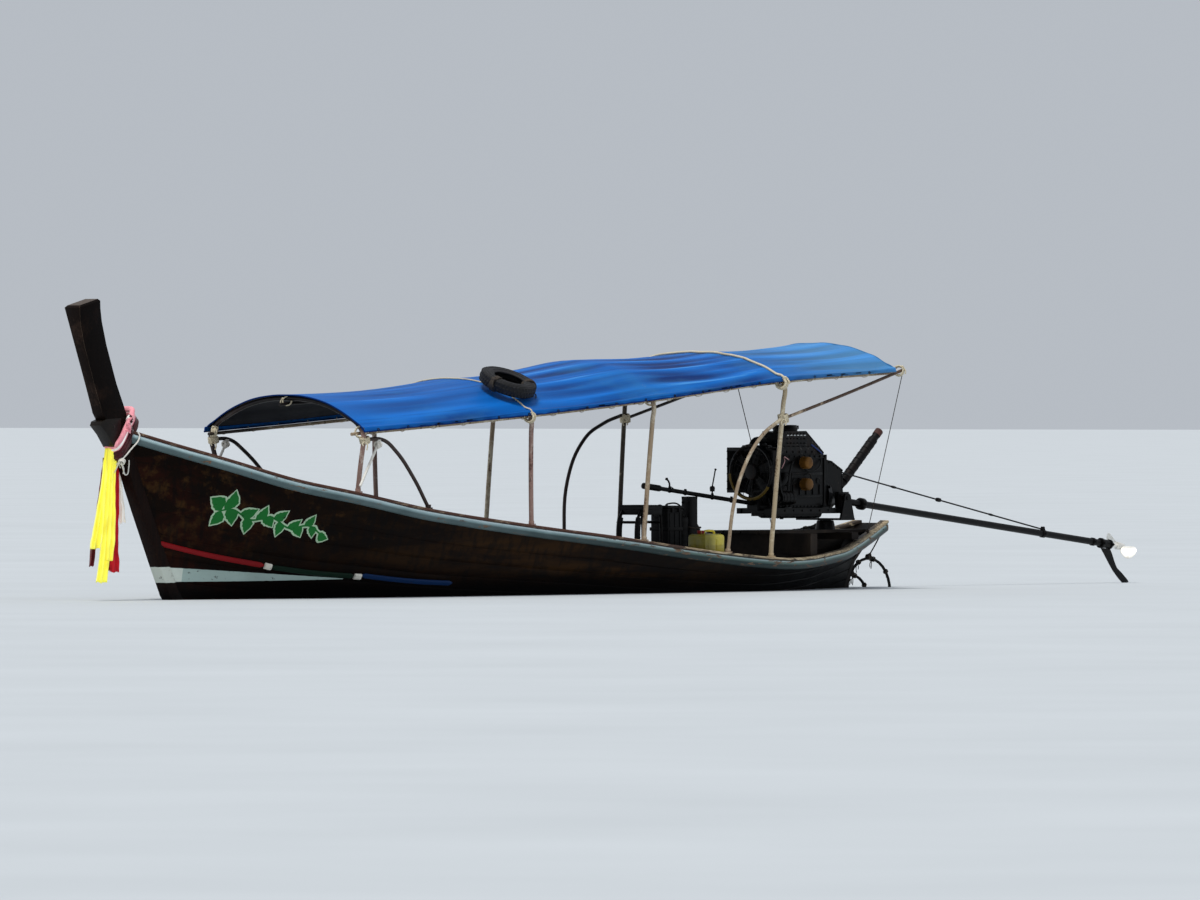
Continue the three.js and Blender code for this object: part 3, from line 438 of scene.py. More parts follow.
def smoothAt(rows, place, column):
    last = len(rows) - 2
    k = 0
    while k < last and rows[k + 1][0] < place:
        k += 1

    def slope(i):
        a, b = rows[max(i - 1, 0)], rows[min(i + 1, len(rows) - 1)]
        return (b[column] - a[column]) / (b[0] - a[0])

    low, high = rows[k], rows[k + 1]
    span = high[0] - low[0]
    t = (place - low[0]) / span
    h = t * t * (3 - 2 * t)
    bend = t * (1 - t) * ((1 - t) * slope(k) - t * slope(k + 1)) * span
    return low[column] * (1 - h) + high[column] * h + bend


firstStation = hull["stations"][0][0]
lastStation = hull["stations"][-1][0]


def railAt(x):  # half breadth and height of the planks' upper edge
    return smoothAt(hull["stations"], x, 1), smoothAt(hull["stations"], x, 2)


def planksEnds(share):
    return smoothAt(hull["sternLine"], share, 1), smoothAt(hull["stemLine"], share, 1)


def sectionPoint(station, share):
    breadth, rail, keel, power = (smoothAt(hull["stations"], station, column) for column in (1, 2, 3, 4))
    aft, fore = planksEnds(share)
    along = (station - firstStation) / (lastStation - firstStation)
    half = hull["keelHalf"]
    return Vector((aft + (fore - aft) * along, half + (breadth - half) * share ** power,
                   keel + (rail - keel) * share))


# A place on the planking: station along the rail, share of the girth, and how far out of the surface.
def onHull(station, girth, lift=0.0, side=1):
    share = min(max(girth, 0.0), 1.0) ** 2
    point = sectionPoint(station, share)
    low = sectionPoint(station, max(share - 0.004, 0))
    high = sectionPoint(station, min(share + 0.004, 1))
    run = math.hypot(high.y - low.y, high.z - low.z)
    point.y += lift * (high.z - low.z) / run
    point.z -= lift * (high.y - low.y) / run
    return Vector((point.x, side * max(point.y, 0.004), point.z))


# The same, from a real x and height.
def hullFace(x, z, lift=0.0, side=1):
    station, share = x, 0.5
    for _ in range(7):
        aft, fore = planksEnds(share)
        station = firstStation + (lastStation - firstStation) * (x - aft) / (fore - aft)
        rail, keel = (smoothAt(hull["stations"], station, column) for column in (2, 3))
        share = min(max((z - keel) / (rail - keel), 0.0), 1.0)
    return onHull(station, math.sqrt(share), lift, side)


def buildPlanking():
    thick, seam = hull["thickness"], hull["seam"]
    length = lastStation - firstStation
    for strake in ("bottom", "side"):
        for sideName, side in bothSides:
            bm = bmesh.new()
            edges = hull[strake + "Planks"]
            for low, high in zip(edges, edges[1:]):
                span = high - low
                edge = seam * 1.2
                ring = [(low, -seam * 1.5), (low + edge, 0.0), (low + span * 0.3, 0.7),
                        (low + span * 0.5, 1.0),
                        (low + span * 0.7, 0.7), (high - edge, 0.0), (high, -seam * 1.5),
                        (high, -thick), (low + span * 0.5, -thick), (low, -thick)]

                def place(u, k):
                    girth, lift = ring[k]
                    station = firstStation + length * u
                    if lift >= 0:
                        lift *= hull["bulge"] * (1 + noise.noise((station * 1.7, low * 40, side)))
                    return onHull(station, girth, lift, side)

                made = drawSurface(bm, hull["steps"], len(ring),
                                   lambda u, v: place(u, round(v * len(ring)) % len(ring)))
                flow = bm.loops.layers.uv["flow"]
                for face in facesOf(made):
                    spots = [round(loop[flow].uv[1] * len(ring)) for loop in face.loops]
                    face.material_index = 1 if min(spots) >= 6 else 0
                    for loop, spot in zip(face.loops, spots):
                        loop[flow].uv = (firstStation + length * loop[flow].uv[0], ring[spot % len(ring)][0])
                closeUp(bm, made)
            finishPiece(f"planking_{strake}_{sideName}", bm, ("varnish", "insidePlanks"), slot="planking",
                        stands=[f"plank_{strake}_{sideName}"], crease=40)


def varnishFinish():
    f = Finish("hullVarnish")
    flow = f.flow()
    girth = f.axis("Y", flow)
    x, z = f.axis("X"), f.axis("Z")
    streaks = f.cloud(1.6, 6.0, 0.62, f.stretched((0.55, 3.0, 3.4)), 0.5)
    grain = f.cloud(4.0, 5.0, 0.65, f.stretched((1.3, 26, 26)), 0.3)
    spots = f.cloud(7.0, 5.0, 0.7)
    speck = f.cloud(38.0, 3.0, 0.7)
    runs = f.cloud(6.0, 4.0, 0.6, f.stretched((2.6, 2.6, 0.35)))
    plankTone = f.cloud(1.0, 1.0, 0.5, f.stretched((0.3, 11.3, 1), flow))
    gold = x.over(3.9, 1.2) * streaks.over(0.44, 0.64) * girth.over(0.6, 0.8)
    red = x.over(2.6, 4.2) * streaks.over(0.46, 0.62)
    olive = x.over(1.4, 3.4) * (spots * 0.6 + streaks * 0.4).over(0.52, 0.6) * z.over(0.3, 0.7)
    aft = x.over(-0.8, -3.2)
    colour = f.mix(grain.over(0.3, 0.7), darker(colours["varnish"], 0.5), colours["varnish"])
    colour = f.mix(plankTone.over(0.35, 0.65) * 0.3, colour, shade(34, 19, 11))
    colour = f.mix(gold * 0.72, colour, colours["varnishGold"])
    colour = f.mix(red * 0.6, colour, colours["varnishRed"])
    colour = f.mix(olive * 0.8, colour, shade(62, 42, 20))
    colour = f.mix(aft * 0.85, colour, colours["varnishAft"])
    colour = f.mix(runs.over(0.52, 0.4) * 0.55, colour, colours["black"])
    colour = f.mix((spots * 0.7 + speck * 0.3).over(0.62, 0.7) * 0.3, colour, shade(84, 60, 36))
    wet = (z + (streaks - 0.5) * 0.14).over(0.24, 0.05)
    colour = f.mix(wet * 0.9, colour, colours["wet"])
    slime = (z + (spots - 0.5) * 0.03).over(0.012, -0.012)
    colour = f.mix(slime, colour, f.mix(spots.over(0.4, 0.6), colours["under"], colours["slime"]))
    lip = (girth + (spots - 0.5) * 0.004).over(0.972, 0.976)
    colour = f.mix(lip * 0.85, colour, colours["teal"])
    rough = 0.34 + (spots - 0.5) * 0.3 + speck * 0.1 + slime * 0.3
    height = grain * 0.5 + spots * 0.5
    return f.surface(Base_Color=colour, Roughness=rough, Specular_IOR_Level=0.035,
                     Normal=f.bump(height, 0.0025, 0.5))


finishes["varnish"] = varnishFinish()
addFinishes(woodFinish, ("insidePlanks", (34, 26, 20), (76, 62, 48), "X", 0.7, 0.3))
buildPlanking()
print("hull planked")


# Painted strips on the hull: three battens end to end with white tips, and the pale wedge below them.
# Columns: paint, x at the fore end and the aft end, height at each, half height of the batten.
battens = (
    ("battenRed", 4.27, 3.262, 0.478, 0.281, 0.021), ("battenWhite", 3.256, 3.196, 0.28, 0.268, 0.025),
    ("battenGreen", 3.19, 2.372, 0.267, 0.186, 0.02), ("battenWhite", 2.366, 2.3, 0.185, 0.18, 0.023),
    ("battenBlue", 2.294, 1.268, 0.191, 0.116, 0.019))
battenShape = {"thick": 0.02, "steps": 26,
               "section": ((-1.0, -0.1), (-1.0, 0.55), (-0.6, 1.0), (0.6, 1.0), (1.0, 0.55), (1.0, -0.1))}
# Columns: x, lower edge, upper edge.
wedge = ((4.12, 0.15, 0.268), (3.995, 0.15, 0.262), (3.5, 0.15, 0.232), (3.0, 0.154, 0.2),
         (2.463, 0.16, 0.166))
wedgeWhiteTo = 3.985


def buildStripes():
    section = battenShape["section"]
    for sideName, side in bothSides:
        bm = bmesh.new()
        names = []
        for paint, fore, aft, zFore, zAft, half in battens:
            if paint not in names:
                names.append(paint)
            tip = 0.0 if paint == "battenWhite" else 0.02

            def place(u, k):
                across, out = section[k]
                near = min(u, 1 - u)
                full = 1.0 if not tip else min(1.0, 0.35 + near / tip * 0.65)
                sag = math.sin(pi * u) * -0.012 * (fore - aft)
                x = fore + (aft - fore) * u
                z = zFore + (zAft - zFore) * u + sag + across * half * full
                return hullFace(x, z, out * battenShape["thick"] * full, side)

            steps = battenShape["steps"] if tip else 2
            drawBar(bm, steps, len(section), place, names.index(paint))
        finishPiece(f"hull_battens_{sideName}", bm, names)
        bm = bmesh.new()

        def painted(u, v):
            x = wedge[0][0] + (wedge[-1][0] - wedge[0][0]) * u
            rows = wedge[::-1]
            low, high = smoothAt(rows, x, 1), smoothAt(rows, x, 2)
            edge = noise.noise((x * 30, v * 9, side)) * 0.0025
            return hullFace(x, low + (high - low) * v + edge, 0.0024, side)

        made = drawSurface(bm, 60, 4, painted)
        for face in facesOf(made):
            face.material_index = 0 if face.calc_center_median().x > wedgeWhiteTo else 1
        finishPiece(f"hull_wedge_{sideName}", bm, ("stripeWhite", "stripePale"))


def stripeFinish(name, base, chipped, flaking=0.3):
    f = Finish(name)
    chips = f.cloud(24.0, 6.0, 0.72, f.stretched((0.5, 1, 1)), 0.4)
    grime = f.cloud(3.0, 4.0, 0.6, f.stretched((0.6, 1, 1)))
    bare = chips.over(0.72 - flaking * 0.2, 0.74 - flaking * 0.2)
    colour = f.mix(grime.over(0.35, 0.7) * 0.5, base, darker(base, 0.5))
    colour = f.mix(bare, colour, chipped)
    return f.surface(Base_Color=colour, Roughness=0.42 + bare * 0.3, Specular_IOR_Level=0.12,
                     Normal=f.bump(1 - bare, 0.0006, 0.6))


addFinishes(
    stripeFinish, ("battenRed", (136, 18, 24), (52, 36, 28)), ("battenGreen", (6, 32, 20), (52, 36, 28)),
    ("battenBlue", (8, 44, 88), (52, 36, 28)), ("battenWhite", (232, 228, 216), (52, 36, 28)),
    ("stripeWhite", (216, 226, 216), (60, 44, 36), 0.55), ("stripePale", (172, 194, 188), (46, 38, 32), 0.5),
    ("leafEdge", (184, 214, 180), (60, 46, 34)), ("leafGreen", (26, 116, 48), (22, 60, 32), 0.4))
buildStripes()
print("stripes laid")


# Leaf scroll painted on each bow: a wavy stalk with leaves, green with a pale outline.
scroll = {"fore": (3.78, 0.74), "aft": (2.86, 0.56), "wave": 0.026, "turns": 2.6, "outline": 0.014,
          "lift": 0.0022}
# Columns: place along the stalk, side of it, length, width, lean from the stalk in degrees.
leaves = (
    (0.0, 1, 0.15, 0.11, 120), (0.0, -1, 0.13, 0.1, 130), (0.03, 1, 0.165, 0.105, 62),
    (0.05, -1, 0.15, 0.1, 66), (0.18, 1, 0.145, 0.092, 48), (0.24, -1, 0.13, 0.088, 52),
    (0.34, 1, 0.13, 0.086, 50), (0.4, -1, 0.125, 0.084, 50), (0.5, 1, 0.125, 0.084, 48),
    (0.56, -1, 0.12, 0.08, 52), (0.66, 1, 0.12, 0.08, 46), (0.72, -1, 0.112, 0.076, 50),
    (0.82, 1, 0.11, 0.074, 44), (0.88, -1, 0.104, 0.07, 46), (0.99, 1, 0.11, 0.07, 4))


def stalkAt(t):
    (x0, z0), (x1, z1) = scroll["fore"], scroll["aft"]
    wave = math.sin(t * scroll["turns"] * 2 * pi) * scroll["wave"]
    return x0 + (x1 - x0) * t, z0 + (z1 - z0) * t + wave


def buildScroll():
    section = ((-0.5, -0.3), (-0.47, 1.0), (-0.2, 1.15), (0.2, 1.15), (0.47, 1.0), (0.5, -0.3))
    for sideName, side in bothSides:
        bm = bmesh.new()
        for layer, grow in ((1, scroll["outline"]), (2, 0.0)):
            lift = scroll["lift"] * (0.6 + layer * 0.55)

            def stalk(u, k):
                across, out = section[k]
                x, z = stalkAt(u)
                return hullFace(x, z + across * (0.016 + grow * 2), out * lift, side)

            drawBar(bm, 40, len(section), stalk, layer - 1)
            for at, way, length, width, lean in leaves:
                x0, z0 = stalkAt(at)
                x1, z1 = stalkAt(at + 0.01)
                heading = math.atan2(z1 - z0, x1 - x0) - way * math.radians(lean)
                ahead = (math.cos(heading), math.sin(heading))
                reach, girth = length + grow * 2, width + grow * 2

                def leaf(u, k):
                    across, out = section[k]
                    wide = girth * math.sin(pi * min(u ** 0.78,
                                                     1.0)) * (1 + 0.1 * math.cos(u * 26) * (k in (1, 4)))
                    bow = 0.16 * length * math.sin(pi * u) * way
                    a = reach * u - grow
                    b = across * wide + bow
                    return hullFace(x0 + ahead[0] * a - ahead[1] * b, z0 + ahead[1] * a + ahead[0] * b,
                                    out * lift, side)

                drawBar(bm, 12, len(section), leaf, layer - 1)
        finishPiece(f"leaf_scroll_{sideName}", bm, ("leafEdge", "leafGreen"))


buildScroll()
print("leaf scroll painted")


# Stem post: dark sides, a lighter fore face, pale corner strips that are a painted highlight, and pale end
# grain on the sloping top.
stem = {
    "band": (0.142, 0.275),  # heights of the pale band at its foot
    "soft": 0.007, "topFrom": 2.4, "edgeFrom": 1.52, "faceFrom": 1.4,
    "noseSoft": 0.006, "pin": {"x": 4.8, "half": 0.065, "height": 1.436, "radius": 0.01},
}


def buildStem():
    bm = copyNode("stem_post", stem["soft"], 3)
    # Corner faces above 1.52 m that turn forward and to the side take the pale edge finish: a painted
    # highlight.
    for face in bm.faces:
        centre = face.calc_center_median()
        if face.normal.z > 0.85 and centre.z > stem["topFrom"]:
            face.material_index = 2
        elif centre.z > stem["edgeFrom"] and face.normal.x > 0.3 and 0.25 < abs(face.normal.y) < 0.96:
            face.material_index = 3
        elif face.normal.x > 0.55 and centre.z > stem["faceFrom"]:
            face.material_index = 1
    finishPiece("stem_post_wood", bm, ("stemSide", "stemFace", "endGrain", "stemEdge"), slot="stemwood",
                stands=["stem_post"], crease=35)
    bm = copyNode("nose_block", stem["noseSoft"], 3)
    pin = stem["pin"]
    ends = [(pin["x"], side * pin["half"], pin["height"]) for side in (-1, 1)]
    drawDrum(bm, *ends, pin["radius"], soft=0.002, finish=1)
    finishPiece("nose_block_wood", bm, ("noseWood", "noseSpot"), slot="keelwood", stands=["nose_block"])


def stemFinish(name, base, pale):
    f = Finish(name)
    bandLow, bandTop = stem["band"]
    z, y = f.axis("Z"), f.axis("Y")
    fibres = f.cloud(3.0, 6.0, 0.65, f.stretched((20, 20, 1.1), turn=(0, -0.28, 0)), 0.4)
    patches = f.cloud(3.2, 5.0, 0.65)
    chips = f.cloud(30.0, 4.0, 0.7)
    colour = f.mix(fibres.over(0.32, 0.68), darker(base, 0.45), base)
    colour = f.mix((patches * 0.65 + chips * 0.35).over(0.52, 0.66) * 0.55, colour, pale)
    low = z.over(1.45, 1.25)
    colour = f.mix(low * 0.8, colour, f.mix(fibres.over(0.3, 0.7), shade(12, 7, 6), shade(34, 18, 13)))
    edge = (chips - 0.5) * 0.012
    band = (z + edge).over(bandLow, bandLow + 0.002) * (z + edge).over(bandTop, bandTop - 0.002)
    band = band * (chips * 0.5 + patches * 0.5).over(0.66, 0.6)
    colour = f.mix(band, colour, shade(206, 214, 204))
    wet = z.over(0.14, 0.03)
    colour = f.mix(wet * 0.8, colour, colours["wet"])
    slime = (z + edge).over(0.012, -0.01)
    colour = f.mix(slime, colour, f.mix(chips.over(0.4, 0.6), colours["under"], colours["slime"]))
    rough = 0.42 + (fibres - 0.5) * 0.3 + chips * 0.08 + abs(y) * 0.2
    return f.surface(Base_Color=colour, Roughness=rough, Specular_IOR_Level=0.05,
                     Normal=f.bump(fibres * 0.7 + chips * 0.3, 0.003, 0.8))


def endGrainFinish(name, base, dark):
    f = Finish(name)
    rings = f.node("TexWave", {"wave_type": "RINGS", "rings_direction": "Z"},
                   {"Vector": f.stretched((1, 1, 0.2)), "Scale": 14.0, "Distortion": 5.0, "Detail": 3.0},
                   out=1)
    speck = f.cloud(60.0, 3.0, 0.7)
    colour = f.mix(rings.over(0.2, 0.8), dark, base)
    colour = f.mix(speck.over(0.55, 0.7) * 0.5, colour, dark)
    return f.surface(Base_Color=colour, Roughness=0.7, Normal=f.bump(rings * 0.5 + speck * 0.5, 0.002, 0.6))


addFinishes(
    stemFinish, ("stemSide", (15, 8, 6), (40, 26, 19)), ("stemFace", (28, 18, 14), (70, 52, 42)),
    ("stemEdge", (112, 94, 78), (156, 136, 116)))
addFinishes(endGrainFinish, ("endGrain", (92, 80, 70), (44, 34, 29)))
addFinishes(woodFinish, ("noseWood", (11, 7, 5), (48, 36, 22), "X", 0.4, 0.15))
addFinishes(wornFinish, ("noseSpot", (34, 30, 28), (70, 60, 50), 0.4, 0.0, 20.0, 0.3))
buildStem()
print("stem dressed")


# Rails: a brown cap over a pale turquoise band.
rail = {"width": 0.038, "depth": 0.078, "inboard": 0.062, "outboard": 0.042, "capThick": 0.024, "gap": 0.0003,
        "steps": 110}


def buildRails():
    length = lastStation - firstStation
    wide, deep, thick, fit = rail["width"], rail["depth"], rail["capThick"], rail["gap"]
    # Columns: how far out from the planks' edge, how far down from it.
    band = ((fit, deep - 0.002), (wide * 0.72, deep - 0.006), (wide - 0.002, deep - 0.018),
            (wide, deep * 0.5), (wide - 0.002, 0.014), (wide * 0.8, 0.004), (fit, 0.001))
    inner, outer = -rail["inboard"], rail["outboard"]
    cap = ((inner, -fit), (outer - 0.004, -fit), (outer, -0.006), (outer, -thick + 0.008),
           (outer - 0.007, -thick), (inner + 0.006, -thick), (inner, -thick + 0.006))
    for sideName, side in bothSides:
        for name, section, finish, slot, node in (
                ("rail_band", band, "railBand", "rail_paint", "rub_rail_"),
                ("rail_capping", cap, "railCap", "cap_wood", "rail_cap_")):
            bm = bmesh.new()

            def place(u, k):
                x = firstStation + length * u
                half, top = railAt(x)
                out, down = section[k]
                dent = noise.noise((x * 3.1, k * 1.7, side * 5)) * 0.0012
                return Vector((x, side * max(half + out + dent, 0.006), top - down + dent))

            drawBar(bm, rail["steps"], len(section), place)
            finishPiece(f"{name}_{sideName}", bm, finish, slot=slot, stands=[node + sideName], crease=50)


def railBandFinish():
    f = Finish("railBand")
    x = f.axis("X")
    flakes = f.cloud(9.0, 7.0, 0.72, f.stretched((0.5, 2, 2)), 0.5)
    grime = f.cloud(2.4, 5.0, 0.65, f.stretched((1, 2, 2)))
    fibres = f.cloud(2.2, 4.0, 0.6, f.stretched((2, 50, 50)))
    aft = x.over(0.6, -1.6)
    low = 0.8 + x.over(1.4, -0.6) * 0.15
    share = f.axis("Y", f.flow())
    paint = f.mix(aft, colours["turquoise"], shade(122, 150, 140))
    paint = f.mix(grime.over(0.4, 0.72) * 0.55, paint, shade(84, 118, 120))
    # Painted highlight and painted shade: the upper face of the band is mixed towards near white, and its
    # lower half towards dark teal.
    paint = f.mix(share.over(0.52, 0.62) * (1 - aft * 0.45) * 0.8, paint, shade(226, 242, 246))
    paint = f.mix(share.over(0.58, 0.42) * low, paint, shade(14, 34, 36))
    wood = f.mix(fibres.over(0.3, 0.7), shade(70, 50, 38), shade(140, 112, 90))
    bare = (flakes + aft * 0.05).over(0.6, 0.64)
    colour = f.mix(bare, paint, wood)
    return f.surface(Base_Color=colour, Roughness=0.4 + bare * 0.35, Specular_IOR_Level=0.2,
                     Normal=f.bump(1 - bare + fibres * 0.15, 0.0012, 0.7))


def railCapFinish():
    f = Finish("railCap")
    x, share = f.axis("X"), f.axis("Y", f.flow())
    flakes = f.cloud(5.0, 7.0, 0.72, f.stretched((0.8, 5, 5)), 0.6)
    fibres = f.cloud(2.2, 4.0, 0.6, f.stretched((2, 50, 50)))
    aft = x.over(-0.2, -2.0)
    edge = share.over(0.24, 0.3) * share.over(0.66, 0.6)
    paint = f.mix(aft, shade(78, 50, 40), shade(60, 50, 42))
    wood = f.mix(aft, shade(160, 140, 118), shade(204, 188, 156))
    wood = f.mix(fibres.over(0.32, 0.68), shade(96, 78, 60), wood)
    bare = (flakes + aft * edge * 0.16).over(0.55, 0.6)
    return f.surface(Base_Color=f.mix(bare, paint, wood), Roughness=0.5 + bare * 0.3, Specular_IOR_Level=0.2,
                     Normal=f.bump(1 - bare + fibres * 0.15, 0.0012, 0.7))


finishes["railBand"] = railBandFinish()
finishes["railCap"] = railCapFinish()
buildRails()
print("rails fitted")


# Canopy. Columns: x, height at the eaves, height at the crown, half width at the eaves, x of the feet.
canopy = {
    "hoops": ((2.63, 1.404, 1.672, 0.872, 2.58), (0.549, 1.545, 1.812, 0.896, 0.53),
              (-1.02, 1.675, 1.972, 0.912, -0.9), (-2.762, 1.84, 2.056, 0.912, -2.622)),
    "ends": ((-4.4, 1.93, 2.15, 0.9), (2.74, 1.396, 1.664, 0.872)),
    "archPower": 2.3, "hoopRadius": 0.0205, "poleRadius": 0.014, "poleInboard": 0.047,
}
archRows = (canopy["ends"][0], *reversed([row[:4] for row in canopy["hoops"]]), canopy["ends"][1])
tarp = {
    "aft": -4.24, "fore": 2.668, "lift": 0.031, "thick": 0.0035, "overhang": 0.036, "flap": 0.042,
    "steps": 190, "across": 104, "bend": 0.93,  # share of the way down where the cloth turns into the flap
    "sag": 0.03, "pleat": 0.0115, "flat": (2.03, 6.93), "hem": 0.0065,
}


def archAt(x, y, lift=0.0):
    eave, crown, half = (smoothAt(archRows, x, column) for column in (1, 2, 3))
    across = min(abs(y) / half, 1.0)
    return Vector((x, y, eave + (crown - eave) * (1 - across ** canopy["archPower"]) + lift))


def bayShare(x):  # 0 over a hoop, 1 halfway between two
    places = [row[0] for row in archRows]
    for low, high in zip(places, places[1:]):
        if low <= x <= high:
            return math.sin(pi * (x - low) / (high - low)) if high - low > 0.2 else 0.0
    return 0.0


def ridge(value):  # a soft-topped fold, from -1 to 1
    return 1 - 2 * abs(math.sin(value)) ** 0.8


def pleatAt(x, y):
    slack = bayShare(x)
    aft = min(max((0.6 - x) / 2.4, 0.0), 1.0)
    drift = noise.noise((x * 0.35, 3.1, 0.0)) * 1.3 + noise.noise((x * 0.9, 7.7, y)) * 0.5
    long = ridge(y * 11.0 + drift * 2.2 + 0.6)
    fine = ridge(y * 23.0 + drift * 3.0 + noise.noise((x * 0.7, y * 2.0, 5.0)) * 1.6)
    gather = noise.noise((x * 1.1, y * 7.0, 2.0))
    size = (0.22 + 0.78 * slack) * (0.5 + 0.7 * aft)
    return tarp["pleat"] * size * (0.5 * long + 0.26 * fine + 0.75 * gather)


def tarpPoint(x, share, lift=0.0):  # share runs from -1 at the starboard hem to 1 at the port hem
    edge = smoothAt(archRows, x, 3) + tarp["overhang"]
    bend = tarp["bend"]
    side = 1 if share > 0 else -1
    across = abs(share)
    slack = bayShare(x)
    if across <= bend:
        y = side * edge * across / bend
        top = archAt(x, y, tarp["lift"])
        crownward = 1 - (abs(y) / edge) ** 2
        drop = tarp["sag"] * slack * (0.35 + 0.65 * crownward)
        top.z += pleatAt(x, y) - drop + lift
        return top
    down = (across - bend) / (1 - bend)
    scallop = 0.012 * slack + 0.006 * noise.noise((x * 4.0, side * 3.0, 1.0))
    top = archAt(x, side * edge, tarp["lift"])
    top.z += pleatAt(x, side * edge) * (1 - down) - tarp["sag"] * slack * 0.35
    flutter = math.sin(x * 31.0 + side) * 0.004 * down
    top.y = side * (edge + 0.006 * math.sin(down * pi / 2) - scallop * down + flutter + lift)
    top.z -= tarp["flap"] * down * (1 - 0.25 * slack)
    return top


def buildTarp():
    aft, fore = tarp["aft"], tarp["fore"]
    bm = bmesh.new()

    def place(u, v):
        fray = 0.012 * noise.noise((v * 9.0, 4.0, u * 2.0)) * (u < 0.001)
        return tarpPoint(aft + (fore - aft) * u + fray, v * 2 - 1)

    fold = bm.verts.layers.float.new("fold")
    made = drawSurface(bm, tarp["steps"], tarp["across"], place)
    for vert in made:
        vert[fold] = pleatAt(vert.co.x, vert.co.y) / tarp["pleat"] * 0.5 + 0.5
    top = bm.faces[:]
    bmesh.ops.recalc_face_normals(bm, faces=top)
    if sum(face.normal.z for face in top) < 0:
        bmesh.ops.reverse_faces(bm, faces=top)
    bmesh.ops.solidify(bm, geom=top, thickness=tarp["thick"])
    # Faces turned downwards take the dark navy underside finish: painted shade.
    for face in bm.faces:
        face.material_index = 1 if face.normal.z < -0.3 else 0
    cloth = finishPiece("tarp_sheet", bm, ("tarpTop", "tarpUnder"), slot="tarpaulin", stands=["canopy_tarp"],
                        crease=60)
    hems = bmesh.new()
    stations = [aft + (fore - aft) * k / 60 for k in range(61)]
    shares = [k / 20 * 2 - 1 for k in range(21)]
    for share in (-1, 1):
        drawRod(hems, [tarpPoint(x, share, -0.002) for x in stations], tarp["hem"], fine=2)
    for x in (aft, fore):
        drawRod(hems, [tarpPoint(x, share, -0.002) for share in shares], tarp["hem"], fine=4)
    hem = finishPiece("tarp_hems", hems, "tarpTop", slot="tarpaulin")


def tarpFinish(name, base, deep, pale, dirt, shine):
    f = Finish(name)
    flow = f.flow()
    fold = f.node("Attribute", {"attribute_name": "fold", "attribute_type": "GEOMETRY"}, out=2)
    long = f.cloud(1.0, 5.0, 0.6, f.stretched((3.0, 46, 1), flow))
    broad = f.cloud(1.0, 4.0, 0.6, f.stretched((7, 5, 1), flow))
    weave, weft = (f.node("TexWave", {"wave_type": "BANDS", "bands_direction": way},
                          {"Vector": f.stretched(scale, flow), "Scale": 1.0}, out=1)
                   for way, scale in (("X", (420, 1, 1)), ("Y", (1, 140, 1))))
    # Painted shade and painted highlight: pleat valleys and dark streaks along the cloth take the deep
    # colour, and pleat crests take the pale colour.
    colour = f.mix(fold.over(0.15, 0.62), deep, base)
    colour = f.mix((fold * 0.5 + long * 0.5).over(0.58, 0.78) * 0.75, colour, pale)
    colour = f.mix(long.over(0.46, 0.3) * 0.6, colour, deep)
    colour = f.mix(broad.over(0.52, 0.72) * 0.35, colour, dirt)
    colour = f.mix(f.axis("X").over(-2.4, -3.8) * 0.35, colour, pale)
    rough = 0.4 + (broad - 0.5) * 0.2 + long * 0.1
    height = weave * 0.3 + weft * 0.3 + long * 0.4
    return f.surface(Base_Color=colour, Roughness=rough, Specular_IOR_Level=shine,
                     Normal=f.bump(height, 0.0015, 0.4))


# The second row is a dark navy copy of the tarp finish for the underside: painted shade.
addFinishes(
    tarpFinish, ("tarpTop", (18, 106, 194), (4, 44, 104), (108, 180, 228), (58, 124, 168), 0.05),
    ("tarpUnder", (6, 12, 28), (3, 6, 15), (12, 22, 44), (12, 15, 26), 0.01))
buildTarp()
print("tarp stretched")


# Canopy frame: hoops, braces and poles of painted tube, lashed with rope where they cross.
# Columns: name, hoop, side, then how far forward of the hoop's top, height (0 for the rail), and how
# far out as a share of the way from the rail to the eaves.
foreBrace = ((-0.038, 1.33, 0.97), (-0.24, 1.322, 1), (-0.39, 1.24, 0.9), (-0.65, 1.01, 0.4),
             (-0.85, 0, 0))
braces = (
    ("brace_fore_port", 0, 1, foreBrace, "tubeDark"), ("brace_fore_starboard", 0, -1, foreBrace, "tubeDark"),
    ("brace_aft_port", 3, 1, ((0.06, 1.49, 1), (0.32, 1.34, 1), (0.56, 1.05, 0.9), (0.67, 0.76, 0.5),
                              (0.735, 0, 0)), "tubeTan"),
    ("brace_aft_starboard", 3, -1, ((0.06, 1.526, 1), (0.3, 1.455, 1), (0.56, 1.315, 0.9),
                                    (0.79, 0.96, 0.5), (0.85, 0, 0)), "tubeDark"))
hoopFinish = ("tubeRed", "tubeRed", "tubeTan", "tubePale")
flange = {"radius": 0.04, "thick": 0.005, "bolt": 0.006, "collar": 0.024, "collarHeight": 0.034}


def capTop(x):
    return railAt(x)[1] + rail["gap"] + rail["capThick"]


def hoopPath(row):
    x, eave, _, half, footX = row
    footHalf = railAt(footX)[0] - 0.01
    base = capTop(footX) + 0.0035
    rise = eave - 0.07 - base
    legs = []
    for share in (0, 0.03, 0.27, 0.5, 0.75, 0.9, 1):
        lean = max(share - 0.03, 0) / 0.97
        bend = 0.006 * math.sin(pi * share)
        legs.append(Vector((footX + (x - footX) * lean + bend, footHalf + (half - footHalf) * lean,
                            base + rise * share)))
    arch = [archAt(x, half * (0.93 - 1.86 * k / 12)) for k in range(13)]
    return [*legs, *arch, *(Vector((p.x, -p.y, p.z)) for p in reversed(legs))]


def bracePath(hoop, side, places):
    x, _, _, half, _ = canopy["hoops"][hoop]
    path = []
    for ahead, z, out in places:
        foot = railAt(x + ahead)[0] - 0.012
        path.append(Vector((x + ahead, side * (foot + (half - foot) * out), z or capTop(x + ahead) + 0.012)))
    return path


